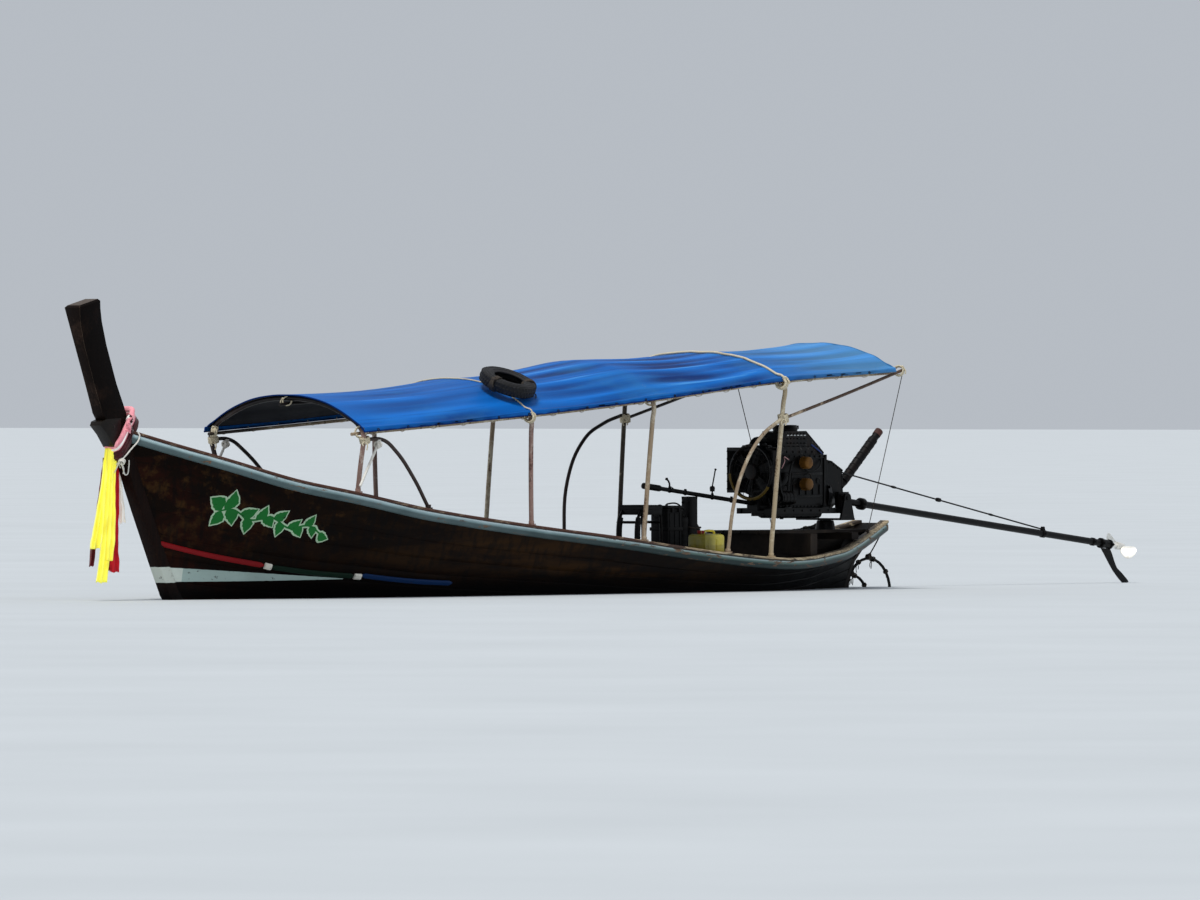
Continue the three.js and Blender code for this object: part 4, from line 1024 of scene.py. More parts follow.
def drawFoot(bm, point):  # plate, collar and bolts that hold a tube on the rail
    x, y, _ = point
    base = capTop(x) + 0.0006
    drawDrum(bm, (x, y, base), (x, y, base + flange["thick"]), flange["radius"], sides=20, soft=0.001)
    drawDrum(bm, (x, y, base), (x, y, base + flange["collarHeight"]), flange["collar"], sides=20, soft=0.002)
    for k in range(4):
        turn = pi / 4 + k * pi / 2
        bx, by = x + math.cos(turn) * 0.031, y + math.sin(turn) * 0.031
        drawDrum(bm, (bx, by, base), (bx, by, base + 0.011), flange["bolt"], sides=6, soft=0)


def drawLashing(bm, centre, axis, radius, width, turns=5, rope=0.0055, finish=0, seed=0):
    axis = Vector(axis).normalized()
    out = axis.orthogonal().normalized()
    side = axis.cross(out)
    points = []
    for k in range(turns * 8 + 1):
        turn = k / 8 * 2 * pi
        along = (k / (turns * 8) - 0.5) * width
        swell = radius + rope * (0.8 + 0.5 * noise.noise((k * 0.4, seed, 2.0)))
        points.append(Vector(centre) + axis * along + (out * math.cos(turn) + side * math.sin(turn)) * swell)
    drawRod(bm, points, rope, sides=6, finish=finish, fine=2)
    knot = Vector(centre) + out * (radius + rope * 2)
    drawRod(bm, [knot - axis * width * 0.5, knot + side * rope * 2, knot + axis * width * 0.5], rope * 1.2,
            sides=6, finish=finish, fine=3)
    for k in (-1, 1):
        fall = Vector((0, 0, -0.035 - 0.02 * abs(k + seed % 2)))
        end = knot + side * rope * 2 * k + fall + out * 0.012
        drawRod(bm, [knot, knot + side * rope * 3 * k + fall * 0.4 + out * 0.01, end], rope * 0.8, sides=6,
                finish=finish, fine=3)


def buildFrame():
    for number, (row, finish) in enumerate(zip(canopy["hoops"], hoopFinish), 1):
        bm = bmesh.new()
        path = hoopPath(row)
        drawRod(bm, path, canopy["hoopRadius"], sides=12, fine=6)
        for end in (path[0], path[-1]):
            drawFoot(bm, end)
        finishPiece(f"hoop_tube_{number}", bm, finish, slot="frame_tube", stands=[f"hoop_{number}"])
    for name, hoop, side, places, finish in braces:
        bm = bmesh.new()
        path = bracePath(hoop, side, places)
        drawRod(bm, path, canopy["poleRadius"] + 0.002, sides=12, fine=8)
        drawFoot(bm, path[-1])
        finishPiece(name + "_tube", bm, finish, slot="frame_tube", stands=[name])
    inboard = canopy["poleInboard"]
    places = [archRows[-1][0] - 0.02, *(row[0] for row in canopy["hoops"]), archRows[0][0] + 0.02]
    for sideName, side in bothSides:
        bm = bmesh.new()
        path = [Vector((x, side * (smoothAt(archRows, x, 3) - inboard - 0.014),
                        smoothAt(archRows, x, 1) - 0.026))
                for x in places]
        drawRod(bm, path, canopy["poleRadius"], sides=12, fine=10)
        finishPiece(f"eave_tube_{sideName}", bm, "tubeTan", slot="frame_tube",
                    stands=[f"eave_pole_{sideName}"])
        bm = bmesh.new()
        last = canopy["hoops"][-1]
        lean = 0.72
        reach = canopy["hoopRadius"] + canopy["poleRadius"] + 0.005
        start = Vector((last[4] + (last[0] - last[4]) * lean - reach, side * (last[3] - 0.008), 1.5))
        end = Vector((archRows[0][0] - 0.01, side * (archRows[0][3] - 0.008), archRows[0][1] - 0.002))
        drawRod(bm, [start, (start + end) / 2 + Vector((0, 0, -0.006)), end], canopy["poleRadius"], sides=12)
        finishPiece(f"aft_strut_tube_{sideName}", bm, "tubeStrut", slot="frame_tube",
                    stands=[f"aft_strut_{sideName}"])
    bm = bmesh.new()
    drawRod(bm, [archAt(x, 0, -inboard) for x in places], canopy["poleRadius"], sides=12, fine=10)
    finishPiece("ridge_tube", bm, "tubeDark", slot="frame_tube", stands=["ridge_pole"])


def buildLashings():
    bm = bmesh.new()
    for number, (x, eave, _, half, _) in enumerate(canopy["hoops"]):
        for side in (1, -1):
            pole = Vector((x, side * (half - canopy["poleInboard"] + 0.008), eave - 0.014))
            drawLashing(bm, pole, (1, side * 0.9, 0.2), 0.04, 0.05, 6, 0.007, seed=number * 2 + side)
        drawLashing(bm, archAt(x, 0, -0.024), (1, 1, 0), 0.032, 0.04, 5, 0.006, seed=number)
    for side in (1, -1):
        end = Vector((archRows[0][0] + 0.03, side * (archRows[0][3] - 0.034), archRows[0][1] - 0.014))
        drawLashing(bm, end, (1, side * 0.6, 0.2), 0.036, 0.06, 7, 0.007, seed=9 + side)
        row = canopy["hoops"][0]
        drawLashing(bm, (row[0] - 0.02, side * (row[3] - 0.012), 1.322), (0.3, 0, 1), 0.034, 0.05, 6, 0.007,
                    seed=12 + side)
        last = canopy["hoops"][-1]
        drawLashing(bm, (-2.745, side * (last[3] - 0.004), 1.5), (0.2, 0, 1), 0.036, 0.07, 8, 0.007,
                    seed=15 + side)
    finishPiece("frame_lashings", bm, "ropePale")


def tubeFinish(name, base, pale, rust, wear):
    f = Finish(name)
    patches = f.cloud(5.0, 6.0, 0.65, f.stretched((1, 1, 0.7)))
    fine = f.cloud(60.0, 4.0, 0.65)
    runs = f.cloud(14.0, 3.0, 0.6, f.stretched((1, 1, 0.25)))
    colour = f.mix((patches * 0.7 + fine * 0.3).over(0.6 - wear * 0.2, 0.68 - wear * 0.16), base, pale)
    scars = (runs * 0.6 + fine * 0.4).over(0.57, 0.62)
    colour = f.mix(scars * 0.8, colour, rust)
    # Painted shade: on the starboard side, more than about 2 m from the middle, the tubes go nearly black in
    # patches; the top of the first hoop, under the tarp's fore edge, is darkened as well.
    starboardShade = f.axis("Y").over(-0.35, -0.62) * abs(f.axis("X")).over(1.9, 2.2) * patches.over(0.72, 0.6)
    foreArchShade = f.axis("X").over(2.2, 2.4) * f.axis("Z").over(1.38, 1.44)
    colour = f.mix(starboardShade * 0.9 + foreArchShade * (1 - starboardShade), colour, shade(22, 16, 17))
    return f.surface(Base_Color=colour, Roughness=0.4 + scars * 0.35 + (fine - 0.5) * 0.2,
                     Metallic=scars * 0.2, Specular_IOR_Level=0.25,
                     Normal=f.bump(patches * 0.5 + fine * 0.5 - scars * 0.4, 0.0012, 0.6))


addFinishes(
    tubeFinish, ("tubeRed", (150, 120, 110), (206, 190, 176), (82, 48, 42), 0.55),
    ("tubeTan", (160, 140, 116), (206, 194, 170), (84, 52, 36), 0.5),
    ("tubePale", (184, 166, 136), (226, 214, 186), (98, 66, 46), 0.5),
    ("tubeStrut", (84, 64, 52), (186, 166, 140), (44, 28, 24), 0.3),
    ("tubeDark", (62, 50, 46), (150, 134, 118), (36, 24, 20), 0.15))


def ropeFinish(name, base, dark):
    f = Finish(name)
    strands = f.cloud(130.0, 3.0, 0.7)
    stain = f.cloud(6.0, 4.0, 0.6)
    colour = f.mix(strands.over(0.3, 0.7), dark, base)
    colour = f.mix(stain.over(0.5, 0.75) * 0.5, colour, dark)
    return f.surface(Base_Color=colour, Roughness=0.85, Normal=f.bump(strands, 0.0012, 0.8))


addFinishes(
    ropeFinish, ("ropePale", (236, 228, 204), (172, 156, 124)), ("ropeDark", (72, 62, 52), (34, 28, 24)),
    ("ropeWhite", (250, 248, 242), (204, 198, 186)), ("netDark", (26, 26, 28), (8, 8, 9)))
buildFrame()
buildLashings()
print("frame lashed")


# Sash: twisted rolls of cloth slung round the post and down under the block.
sash = {"high": (4.566, 1.51), "low": (4.748, 1.238), "half": 0.064, "rake": (0.42, 0, 0.907), "twist": 5.0,
        "lobes": 3, "crease": 0.17}
# Columns: finish, offset across the band, stand-off from the wood, radius, seed.
sashRolls = [
    ("clothPink", 0.058, 0.016, 0.022, 1), ("clothWhite", 0.036, 0.022, 0.013, 2),
    ("clothPink", 0.018, 0.015, 0.015, 6), ("clothMaroon", -0.01, 0.015, 0.021, 4),
    ("clothMaroon", -0.04, 0.019, 0.02, 5), ("clothMaroon", -0.064, 0.014, 0.017, 3),
]
sashLong = Vector((sash["low"][0] - sash["high"][0], 0, sash["low"][1] - sash["high"][1]))
sashAcross = Vector(sash["rake"])  # along the stem


# A place on the loop round the post: a rounded oblong, at a share of the way round.
def sashLoop(share, grow):
    reach = sashLong.length / 2 + 0.004 + grow
    width = sash["half"] + grow
    angle = share * 2 * pi
    power = 0.42
    along = math.copysign(abs(math.cos(angle)) ** power, math.cos(angle)) * reach
    aside = math.copysign(abs(math.sin(angle)) ** power, math.sin(angle)) * width
    middle = Vector((*sash["high"], 0)).xzy + sashLong / 2
    return middle + sashLong.normalized() * along + Vector((0, aside, 0))


def drawRoll(bm, path, radius, seed, finish=0, corners=14, taper=None):
    rings = []
    for i, point in enumerate(path):
        ahead = path[min(i + 1, len(path) - 1)] - path[max(i - 1, 0)]
        turn = ahead.to_track_quat("Z", "Y").to_matrix()
        share = i / (len(path) - 1)
        size = radius * (taper(share) if taper else 1)
        ring = []
        for k in range(corners):
            angle = 2 * pi * k / corners
            turned = sash["lobes"] * angle + share * 2 * pi * sash["twist"] + seed
            lobe = 1 + sash["crease"] * math.sin(turned)
            lobe += 0.22 * noise.noise((share * 9 + seed, math.cos(angle), math.sin(angle)))
            ring.append(point + turn @ Vector((math.cos(angle), math.sin(angle), 0)) * size * lobe)
        rings.append(ring)
    steps = len(rings) - 1
    drawBar(bm, steps, corners, lambda u, k: rings[round(u * steps)][k], finish)


def buildSash():
    kinds = ["clothPink", "clothWhite", "clothMaroon"]
    bm = bmesh.new()
    for finish, across, standOff, radius, seed in sashRolls:
        path = []
        for k in range(73):
            share = k / 72
            sway = noise.noise((share * 5, seed * 3.1, 0)) * 0.01
            path.append(sashLoop(share, standOff) + sashAcross * (across + sway))
        drawRoll(bm, path, radius, seed, kinds.index(finish))
    knot = Vector((4.64, 0.086, 1.5))
    # Columns: finish, turns of the knot's loop about the three axes, size.
    for finish, turn, size in ((0, (0.3, 0.6, 0), 0.024), (1, (1.3, -0.4, 0.9), 0.02),
                               (2, (0.2, 1.5, 0.5), 0.024)):
        aboutX, aboutY, aboutZ = (Matrix.Rotation(angle, 3, axis) for angle, axis in zip(turn, "XYZ"))
        lean = aboutX @ aboutY @ aboutZ
        path = []
        for a in range(19):
            turned = a * pi / 9
            path.append(knot + lean @ Vector((math.cos(turned) * size, math.sin(turned) * size * 0.8,
                                              0.006 * math.sin(a))))
        drawRoll(bm, path, 0.014, finish + 7, finish, corners=10)
    # Columns: finish, end point, sag.
    for finish, end, sag in ((0, (4.7, 0.1, 1.395), 0.016), (2, (4.665, 0.096, 1.372), 0.012)):
        end = Vector(end)
        path = [knot.lerp(end, k / 10) + Vector((0.02 * math.sin(k * 0.5), sag * math.sin(k * pi / 10), 0))
                for k in range(11)]
        drawRoll(bm, path, 0.016, finish + 11, finish, corners=10, taper=lambda u: 0.7 + u * 0.9)
    finishPiece("bow_sash_cloth", bm, kinds, slot="cloth_red", stands=["bow_sash"], crease=70)


# Ribbons: strips of cloth that hang before the stem, pleated at the top and loose below.
# Columns: name, finish, slot, x and y at the top, drift of x and y, top, bottom, width at top and bottom,
# pleats, seed, CAD nodes it stands for.
ribbons = [
    ("ribbon_yellow_long", "clothYellow", "cloth_yellow", 4.776, 0.01, 0.09, -0.03, 1.262, 0.152, 0.084,
     0.146, 2.6, 1, ["ribbon_yellow"]),
    ("ribbon_yellow_fore", "clothYellow", "cloth_yellow", 4.8, -0.006, 0.13, -0.036, 1.258, 0.43, 0.066,
     0.104, 2.0, 2, []),
    ("ribbon_yellow_aft", "clothYellow", "cloth_yellow", 4.76, 0.024, 0.046, -0.03, 1.24, 0.33, 0.056, 0.096,
     1.8, 7, []),
    ("ribbon_dark_tail", "clothDarkRed", "cloth_red", 4.812, -0.04, 0.112, -0.034, 1.18, 0.288, 0.034, 0.062,
     1.6, 3, []),
    ("ribbon_red_long", "clothRed", "cloth_red", 4.652, -0.092, -0.026, 0.004, 1.19, 0.236, 0.08, 0.12,
     2.4, 4, ["ribbon_red"]),
    ("ribbon_red_dark", "clothDarkRed", "cloth_red", 4.69, -0.108, -0.004, 0.0, 1.18, 0.25, 0.044, 0.078,
     2.0, 5, []),
    ("ribbon_white_long", "clothWhite", "cloth_white", 4.572, -0.092, -0.016, 0.0, 1.16, 0.642, 0.034, 0.052,
     1.4, 6, ["ribbon_white"]),
]


def buildRibbons():
    for row in ribbons:
        name, finish, slot, x, y, driftX, driftY, top, bottom, wide, wideLow, pleats, seed, stands = row
        bm = bmesh.new()
        length = top - bottom

        def place(u, v):
            z = top - length * v
            width = wide + (wideLow - wide) * v
            pleat = math.sin((u - 0.5) * 2 * pi * pleats + seed + math.sin(v * 4 + seed) * 0.9)
            deep = (0.011 + 0.008 * v) * min(1, v * 6 + 0.35)
            crumple = noise.noise_vector((u * 3 + seed, v * 9, seed)) * 0.007
            billow = math.sin(v * 5.2 + seed) * 0.01
            ragged = (noise.noise((u * 6, seed, 3)) * 0.018) if v > 0.98 else 0
            return Vector((x + driftX * v + (u - 0.5) * width + billow + crumple.x,
                           y + driftY * v + pleat * deep + crumple.y, z + ragged))

        drawSurface(bm, max(int(pleats * 10), 14), 64, place)
        area = sum(face.calc_area() for face in bm.faces)
        strip = finishPiece(name, bm, finish, slot=slot, stands=stands, crease=80)
        solid = strip.modifiers.new("thickness", "SOLIDIFY")
        solid.thickness = 0.0016
        area / length


# White cord made fast round the stem below the sash, with its bights hanging.
def buildStemCord():
    bm = bmesh.new()
    high, low = Vector((4.574, 0.136, 1.362)), Vector((4.735, 0.076, 1.16))
    drawRod(bm, [high + Vector((0.01, -0.012, 0.028)), high, high.lerp(low, 0.5) + Vector((0, 0.004, -0.014)),
                 low, (4.738, 0.0, 1.12), (4.735, -0.07, 1.142), (4.574, -0.136, 1.362)], 0.0065)
    drawLashing(bm, (4.722, 0.074, 1.15), (0.6, 0.1, -0.75), 0.02, 0.03, 4, 0.006, seed=31)
    # Columns: x and y at the top, lowest x, y and z, x and y where it comes back up.
    for topX, topY, lowX, lowY, lowZ, backX, backY in (
            (4.742, 0.066, 4.73, -0.05, 0.94, 4.69, -0.084), (4.728, 0.072, 4.64, 0.05, 1.04, 4.64, 0.078)):
        drawRod(bm, [(topX, topY, 1.146), ((topX + lowX) / 2 + 0.012, (topY + lowY) / 2, (1.146 + lowZ) / 2),
                     (lowX, lowY, lowZ), ((backX + lowX) / 2 - 0.01, (backY + lowY) / 2, (1.15 + lowZ) / 2),
                     (backX, backY, 1.16)], 0.0055, fine=8)
    finishPiece("stem_cord", bm, "ropeWhite", slot="cloth_white")


def clothFinish(name, base, deep, glow):
    f = Finish(name)
    weave = f.cloud(420.0, 2.0, 0.6)
    folds = f.cloud(9.0, 4.0, 0.6, f.stretched((2.5, 2.5, 0.6)))
    stain = f.cloud(5.0, 5.0, 0.65)
    # Painted shade: the cloth goes darker where the fold bumps sink.
    colour = f.mix(folds.over(0.56, 0.36) * 0.65, base, deep)
    colour = f.mix(stain.over(0.56, 0.74) * 0.35, colour, deep)
    colour = f.mix(weave.over(0.45, 0.7) * 0.12, colour, deep)
    # Painted light: each cloth also gives off its own colour at its glow strength, as though lit through.
    return f.surface(Base_Color=colour, Roughness=0.74 + (stain - 0.5) * 0.15, Sheen_Weight=0.3,
                     Emission_Color=colour, Emission_Strength=glow, Specular_IOR_Level=0.2,
                     Normal=f.bump(weave * 0.35 + folds * 0.65, 0.0018, 0.6))


addFinishes(
    clothFinish, ("clothYellow", (255, 252, 104), (244, 226, 66), 0.26),
    ("clothRed", (214, 30, 48), (136, 12, 28), 0.12), ("clothMaroon", (74, 14, 22), (34, 6, 12), 0.02),
    ("clothDarkRed", (116, 12, 26), (54, 6, 14), 0.04), ("clothWhite", (252, 250, 246), (214, 206, 200), 0.2),
    ("clothPink", (240, 160, 170), (196, 96, 112), 0.12))
buildSash()
buildRibbons()
buildStemCord()
print("bow cloth tied")


# Engine: what is bolted, piped and strapped to the block, the head and the radiator.
engine = {"fore": -3.54, "side": 0.16, "plate": 0.164, "fan": (-3.385, 0.0, 1.028)}


def finishEngine(name, bm, finish="engineIron", slot="engine_iron", stands=(), crease=32):
    finishPiece(name, bm, finish, "engine", slot, stands, crease)


# Bolt heads along a line, standing out along a direction.
def drawBolts(bm, start, end, count, out, size=0.009, finish=0):
    start, end, out = Vector(start), Vector(end), Vector(out).normalized()
    for k in range(count):
        at = start.lerp(end, k / max(count - 1, 1))
        drawDrum(bm, at - out * 0.002, at + out * size * 0.3, size * 1.5, sides=12, soft=0, finish=finish)
        drawDrum(bm, at, at + out * size, size, sides=6, soft=0.0012, finish=finish)


def buildBlock():
    bm = bmesh.new()
    fore, side, plate = engine["fore"], engine["side"], engine["plate"]
    for face in (1, -1):
        # Columns: x from, x to, height from, height to, how far it stands out from the block.
        for x0, x1, z0, z1, out in ((-4.15, -3.61, 1.004, 1.024, 0.014), (-4.15, -3.61, 0.806, 0.824, 0.014),
                                    (-4.2, -3.56, 1.152, 1.176, 0.012), (-4.21, -3.55, 0.716, 0.736, 0.016),
                                    (-4.196, -4.18, 0.74, 1.15, 0.01), (-3.574, -3.556, 0.74, 1.15, 0.01)):
            low = side if z0 > 1.02 or z1 < 0.82 or x1 < -4.16 or x0 > -3.6 else plate
            drawBox(bm, (x0, face * (low - 0.004), z0), (x1, face * (low + out), z1), 0.003)
        for x in (-4.1, -3.985, -3.78, -3.66):
            drawDrum(bm, (x, face * (plate - 0.002), 0.95), (x, face * (plate + 0.006), 0.95), 0.026,
                     soft=0.002)
            drawRing(bm, (x, face * (plate + 0.006), 0.95), (0, 1, 0), 0.022, 0.003, around=24, sides=6)
        for x in (-4.12, -4.03, -3.94, -3.85, -3.76, -3.67):
            drawBox(bm, (x - 0.006, face * (plate - 0.004), 0.828), (x + 0.006, face * (plate + 0.01), 0.918),
                    0.003)
        drawBolts(bm, (-4.19, face * (side + 0.012), 1.164), (-3.57, face * (side + 0.012), 1.164), 10,
                  (0, face, 0))
        drawBolts(bm, (-4.196, face * (side + 0.016), 0.726), (-3.564, face * (side + 0.016), 0.726), 14,
                  (0, face, 0), 0.007)
    # Cover on the fore end.
    drawBox(bm, (fore - 0.002, -0.13, 0.76), (fore + 0.018, 0.13, 1.13), 0.01)
    drawBolts(bm, (fore + 0.018, -0.118, 0.78), (fore + 0.018, -0.118, 1.112), 6, (1, 0, 0), 0.007)
    drawBolts(bm, (fore + 0.018, 0.118, 0.78), (fore + 0.018, 0.118, 1.112), 6, (1, 0, 0), 0.007)
    # The sump under the block: a flanged pan that tapers down, with ribs, a drain plug and a dipstick tube.
    pan = ((0.716, -4.226, -3.556, 0.162), (0.706, -4.226, -3.556, 0.162), (0.7, -4.206, -3.58, 0.146),
           (0.634, -4.186, -3.64, 0.128), (0.622, -4.176, -3.66, 0.112))

    def sump(u, k):
        z, x0, x1, half = pan[round(u * (len(pan) - 1))]
        x, y = ((x1, half), (x0, half), (x0, -half), (x1, -half))[k]
        return Vector((x, y, z))

    drawBar(bm, len(pan) - 1, 4, sump)
    for x in (-4.12, -4.02, -3.92, -3.82, -3.72):
        drawBox(bm, (x - 0.005, -0.14, 0.63), (x + 0.005, 0.14, 0.698), 0.002)
    drawDrum(bm, (-3.8, 0.0, 0.624), (-3.8, 0.0, 0.612), 0.018, sides=6, soft=0.001)
    drawRod(bm, [(-3.7, 0.12, 0.69), (-3.69, 0.176, 0.72), (-3.7, 0.196, 0.9), (-3.712, 0.196, 1.02)], 0.006,
            sides=8)
    finishEngine("block_castings", bm)
    bm = bmesh.new()
    # Pulleys with their belts. Columns: y, height and radius of each pulley.
    pulleys = ((0.0, 0.81, 0.078), (0.19, 0.8, 0.04), (0.0, 1.06, 0.058))
    for y, z, radius in pulleys:
        drawTurned(bm, (fore + 0.018, y, z), (1, 0, 0),
                   ((0.0, 0.0), (0.0, 0.016), (0.01, 0.016), (0.01, radius), (0.015, radius),
                    (0.022, radius * 0.86), (0.029, radius), (0.034, radius), (0.034, radius * 0.7),
                    (0.026, radius * 0.6), (0.026, 0.014), (0.04, 0.012), (0.04, 0.0)), sides=36)
    for (y1, z1, r1), (y2, z2, r2) in zip(pulleys, pulleys[1:] + pulleys[:1]):
        lean = math.atan2(z2 - z1, y2 - y1)
        out = Vector((0, math.cos(lean - pi / 2), math.sin(lean - pi / 2)))
        start = Vector((fore + 0.04, y1, z1)) + out * (r1 * 0.97)
        end = Vector((fore + 0.04, y2, z2)) + out * (r2 * 0.97)
        drawRod(bm, [start, start.lerp(end, 0.5) + out * 0.002, end], 0.0065, sides=6, finish=1)
    for y, z, radius in pulleys:
        drawRing(bm, (fore + 0.04, y, z), (1, 0, 0), radius * 0.955, 0.006, around=32, sides=6, finish=1)
    drawTurned(bm, (-3.552, 0.19, 0.8), (1, 0, 0), ((0.0, 0.03), (0.01, 0.056), (0.02, 0.056), (0.026, 0.02)),
               sides=30)
    for x in (-3.59, -3.636, -3.682):
        drawRing(bm, (x, 0.19, 0.8), (1, 0, 0), 0.0585, 0.0028, around=30, sides=6)
    drawBox(bm, (-3.7, 0.15, 0.85), (-3.6, 0.176, 0.905), 0.004)
    finishEngine("pulleys_belts", bm, ("engineSteel", "hoseBlack"), "engine_steel")


def buildHead():
    bm = bmesh.new()
    hoodEdge = ((-3.69, 1.38), (-3.985, 1.384), (-4.226, 1.196))
    for face in (1, -1):
        # Louvres in the hood's side: a pressed lip over each slot.
        for row in range(3):
            for k in range(6):
                x, z = -3.722 - k * 0.046, 1.356 - row * 0.04
                drawBox(bm, (x - 0.03, face * 0.124, z), (x, face * (0.134 + 0.002 * (k % 2)), z + 0.011),
                        0.003, turn=Matrix.Rotation(face * 0.35, 4, "X"))
                # A thin white plate under each lip of the top row: painted glints.
                if row == 0:
                    drawBox(bm, (x - 0.028, face * 0.125, z - 0.01), (x - 0.002, face * 0.1285, z - 0.002), 0,
                            finish=1)
        for (x0, z0), (x1, z1) in zip(hoodEdge, hoodEdge[1:]):
            y = face * 0.124
            drawRod(bm, [(x0, y, z0), ((x0 + x1) / 2, y, (z0 + z1) / 2), (x1, y, z1)], 0.006, sides=6)
        drawBolts(bm, (-4.14, face * 0.132, 1.248), (-3.62, face * 0.132, 1.248), 9, (0, 0, 1), 0.008)
        drawBolts(bm, (-4.14, face * 0.14, 1.204), (-3.62, face * 0.14, 1.204), 7, (0, face, 0), 0.008)
    # Runners and the log of the inlet manifold on the starboard side.
    drawRod(bm, [(-4.15, -0.205, 1.205), (-3.9, -0.207, 1.208), (-3.64, -0.205, 1.205)], 0.03, sides=14)
    for x in (-4.09, -3.97, -3.81, -3.69):
        drawRod(bm, [(x, -0.136, 1.222), (x, -0.172, 1.226), (x, -0.204, 1.208)], 0.021, sides=10)
        drawBox(bm, (x - 0.034, -0.15, 1.19), (x + 0.034, -0.139, 1.246), 0.003)
    finishEngine("head_fittings", bm, ("engineSteel", "glint"), "engine_steel")
    bm = bmesh.new()
    for k, x in enumerate((-4.06, -3.95, -3.83, -3.72)):
        drawDrum(bm, (x, -0.148, 1.24), (x, -0.15, 1.282), 0.012, 0.009, sides=10, soft=0.0015)
        pump = (-3.95 + k * 0.062, -0.196, 1.012)
        drawDrum(bm, pump, (pump[0], pump[1], 1.04), 0.012, sides=8, soft=0.0015)
        drawRod(bm, [(pump[0], pump[1], 1.04), (pump[0], -0.215, 1.09 + k * 0.012), (x, -0.245, 1.19),
                     (x, -0.205, 1.29), (x, -0.16, 1.292), (x, -0.149, 1.276)], 0.0042, sides=6)
    drawBox(bm, (-3.985, -0.236, 0.905), (-3.695, -0.228, 1.004), 0.004)
    drawBolts(bm, (-3.975, -0.236, 0.918), (-3.705, -0.236, 0.918), 6, (0, -1, 0), 0.006)
    drawDrum(bm, (-3.706, -0.19, 0.955), (-3.66, -0.19, 0.955), 0.04, soft=0.003)
    finishEngine("injection_lines", bm, "engineSteel", "engine_steel")
    bm = bmesh.new()
    drawTurned(bm, (-3.85, 0, 1.392), (0, 0, 1),
               ((-0.01, 0.0), (-0.01, 0.106), (0.004, 0.109), (0.01, 0.109), (0.012, 0.1125), (0.016, 0.1145),
                (0.022, 0.1135), (0.028, 0.1095), (0.038, 0.106), (0.048, 0.1015), (0.0485, 0.08),
                (0.05, 0.06), (0.05, 0.0)), sides=40)
    drawDrum(bm, (-3.85, 0, 1.436), (-3.85, 0, 1.448), 0.01, sides=6, soft=0.001)
    for k in range(3):
        turn = k * 2 * pi / 3 + 0.4
        across = Vector((math.cos(turn), math.sin(turn), 0))
        centre = Vector((-3.85, 0, 1.4))
        drawBox(bm, centre + across * 0.108 - Vector((0.007, 0.007, -0.004)),
                centre + across * 0.119 + Vector((0.007, 0.007, 0.036)), 0.002)
    finishEngine("air_cleaner_can", bm, stands=["air_cleaner"])


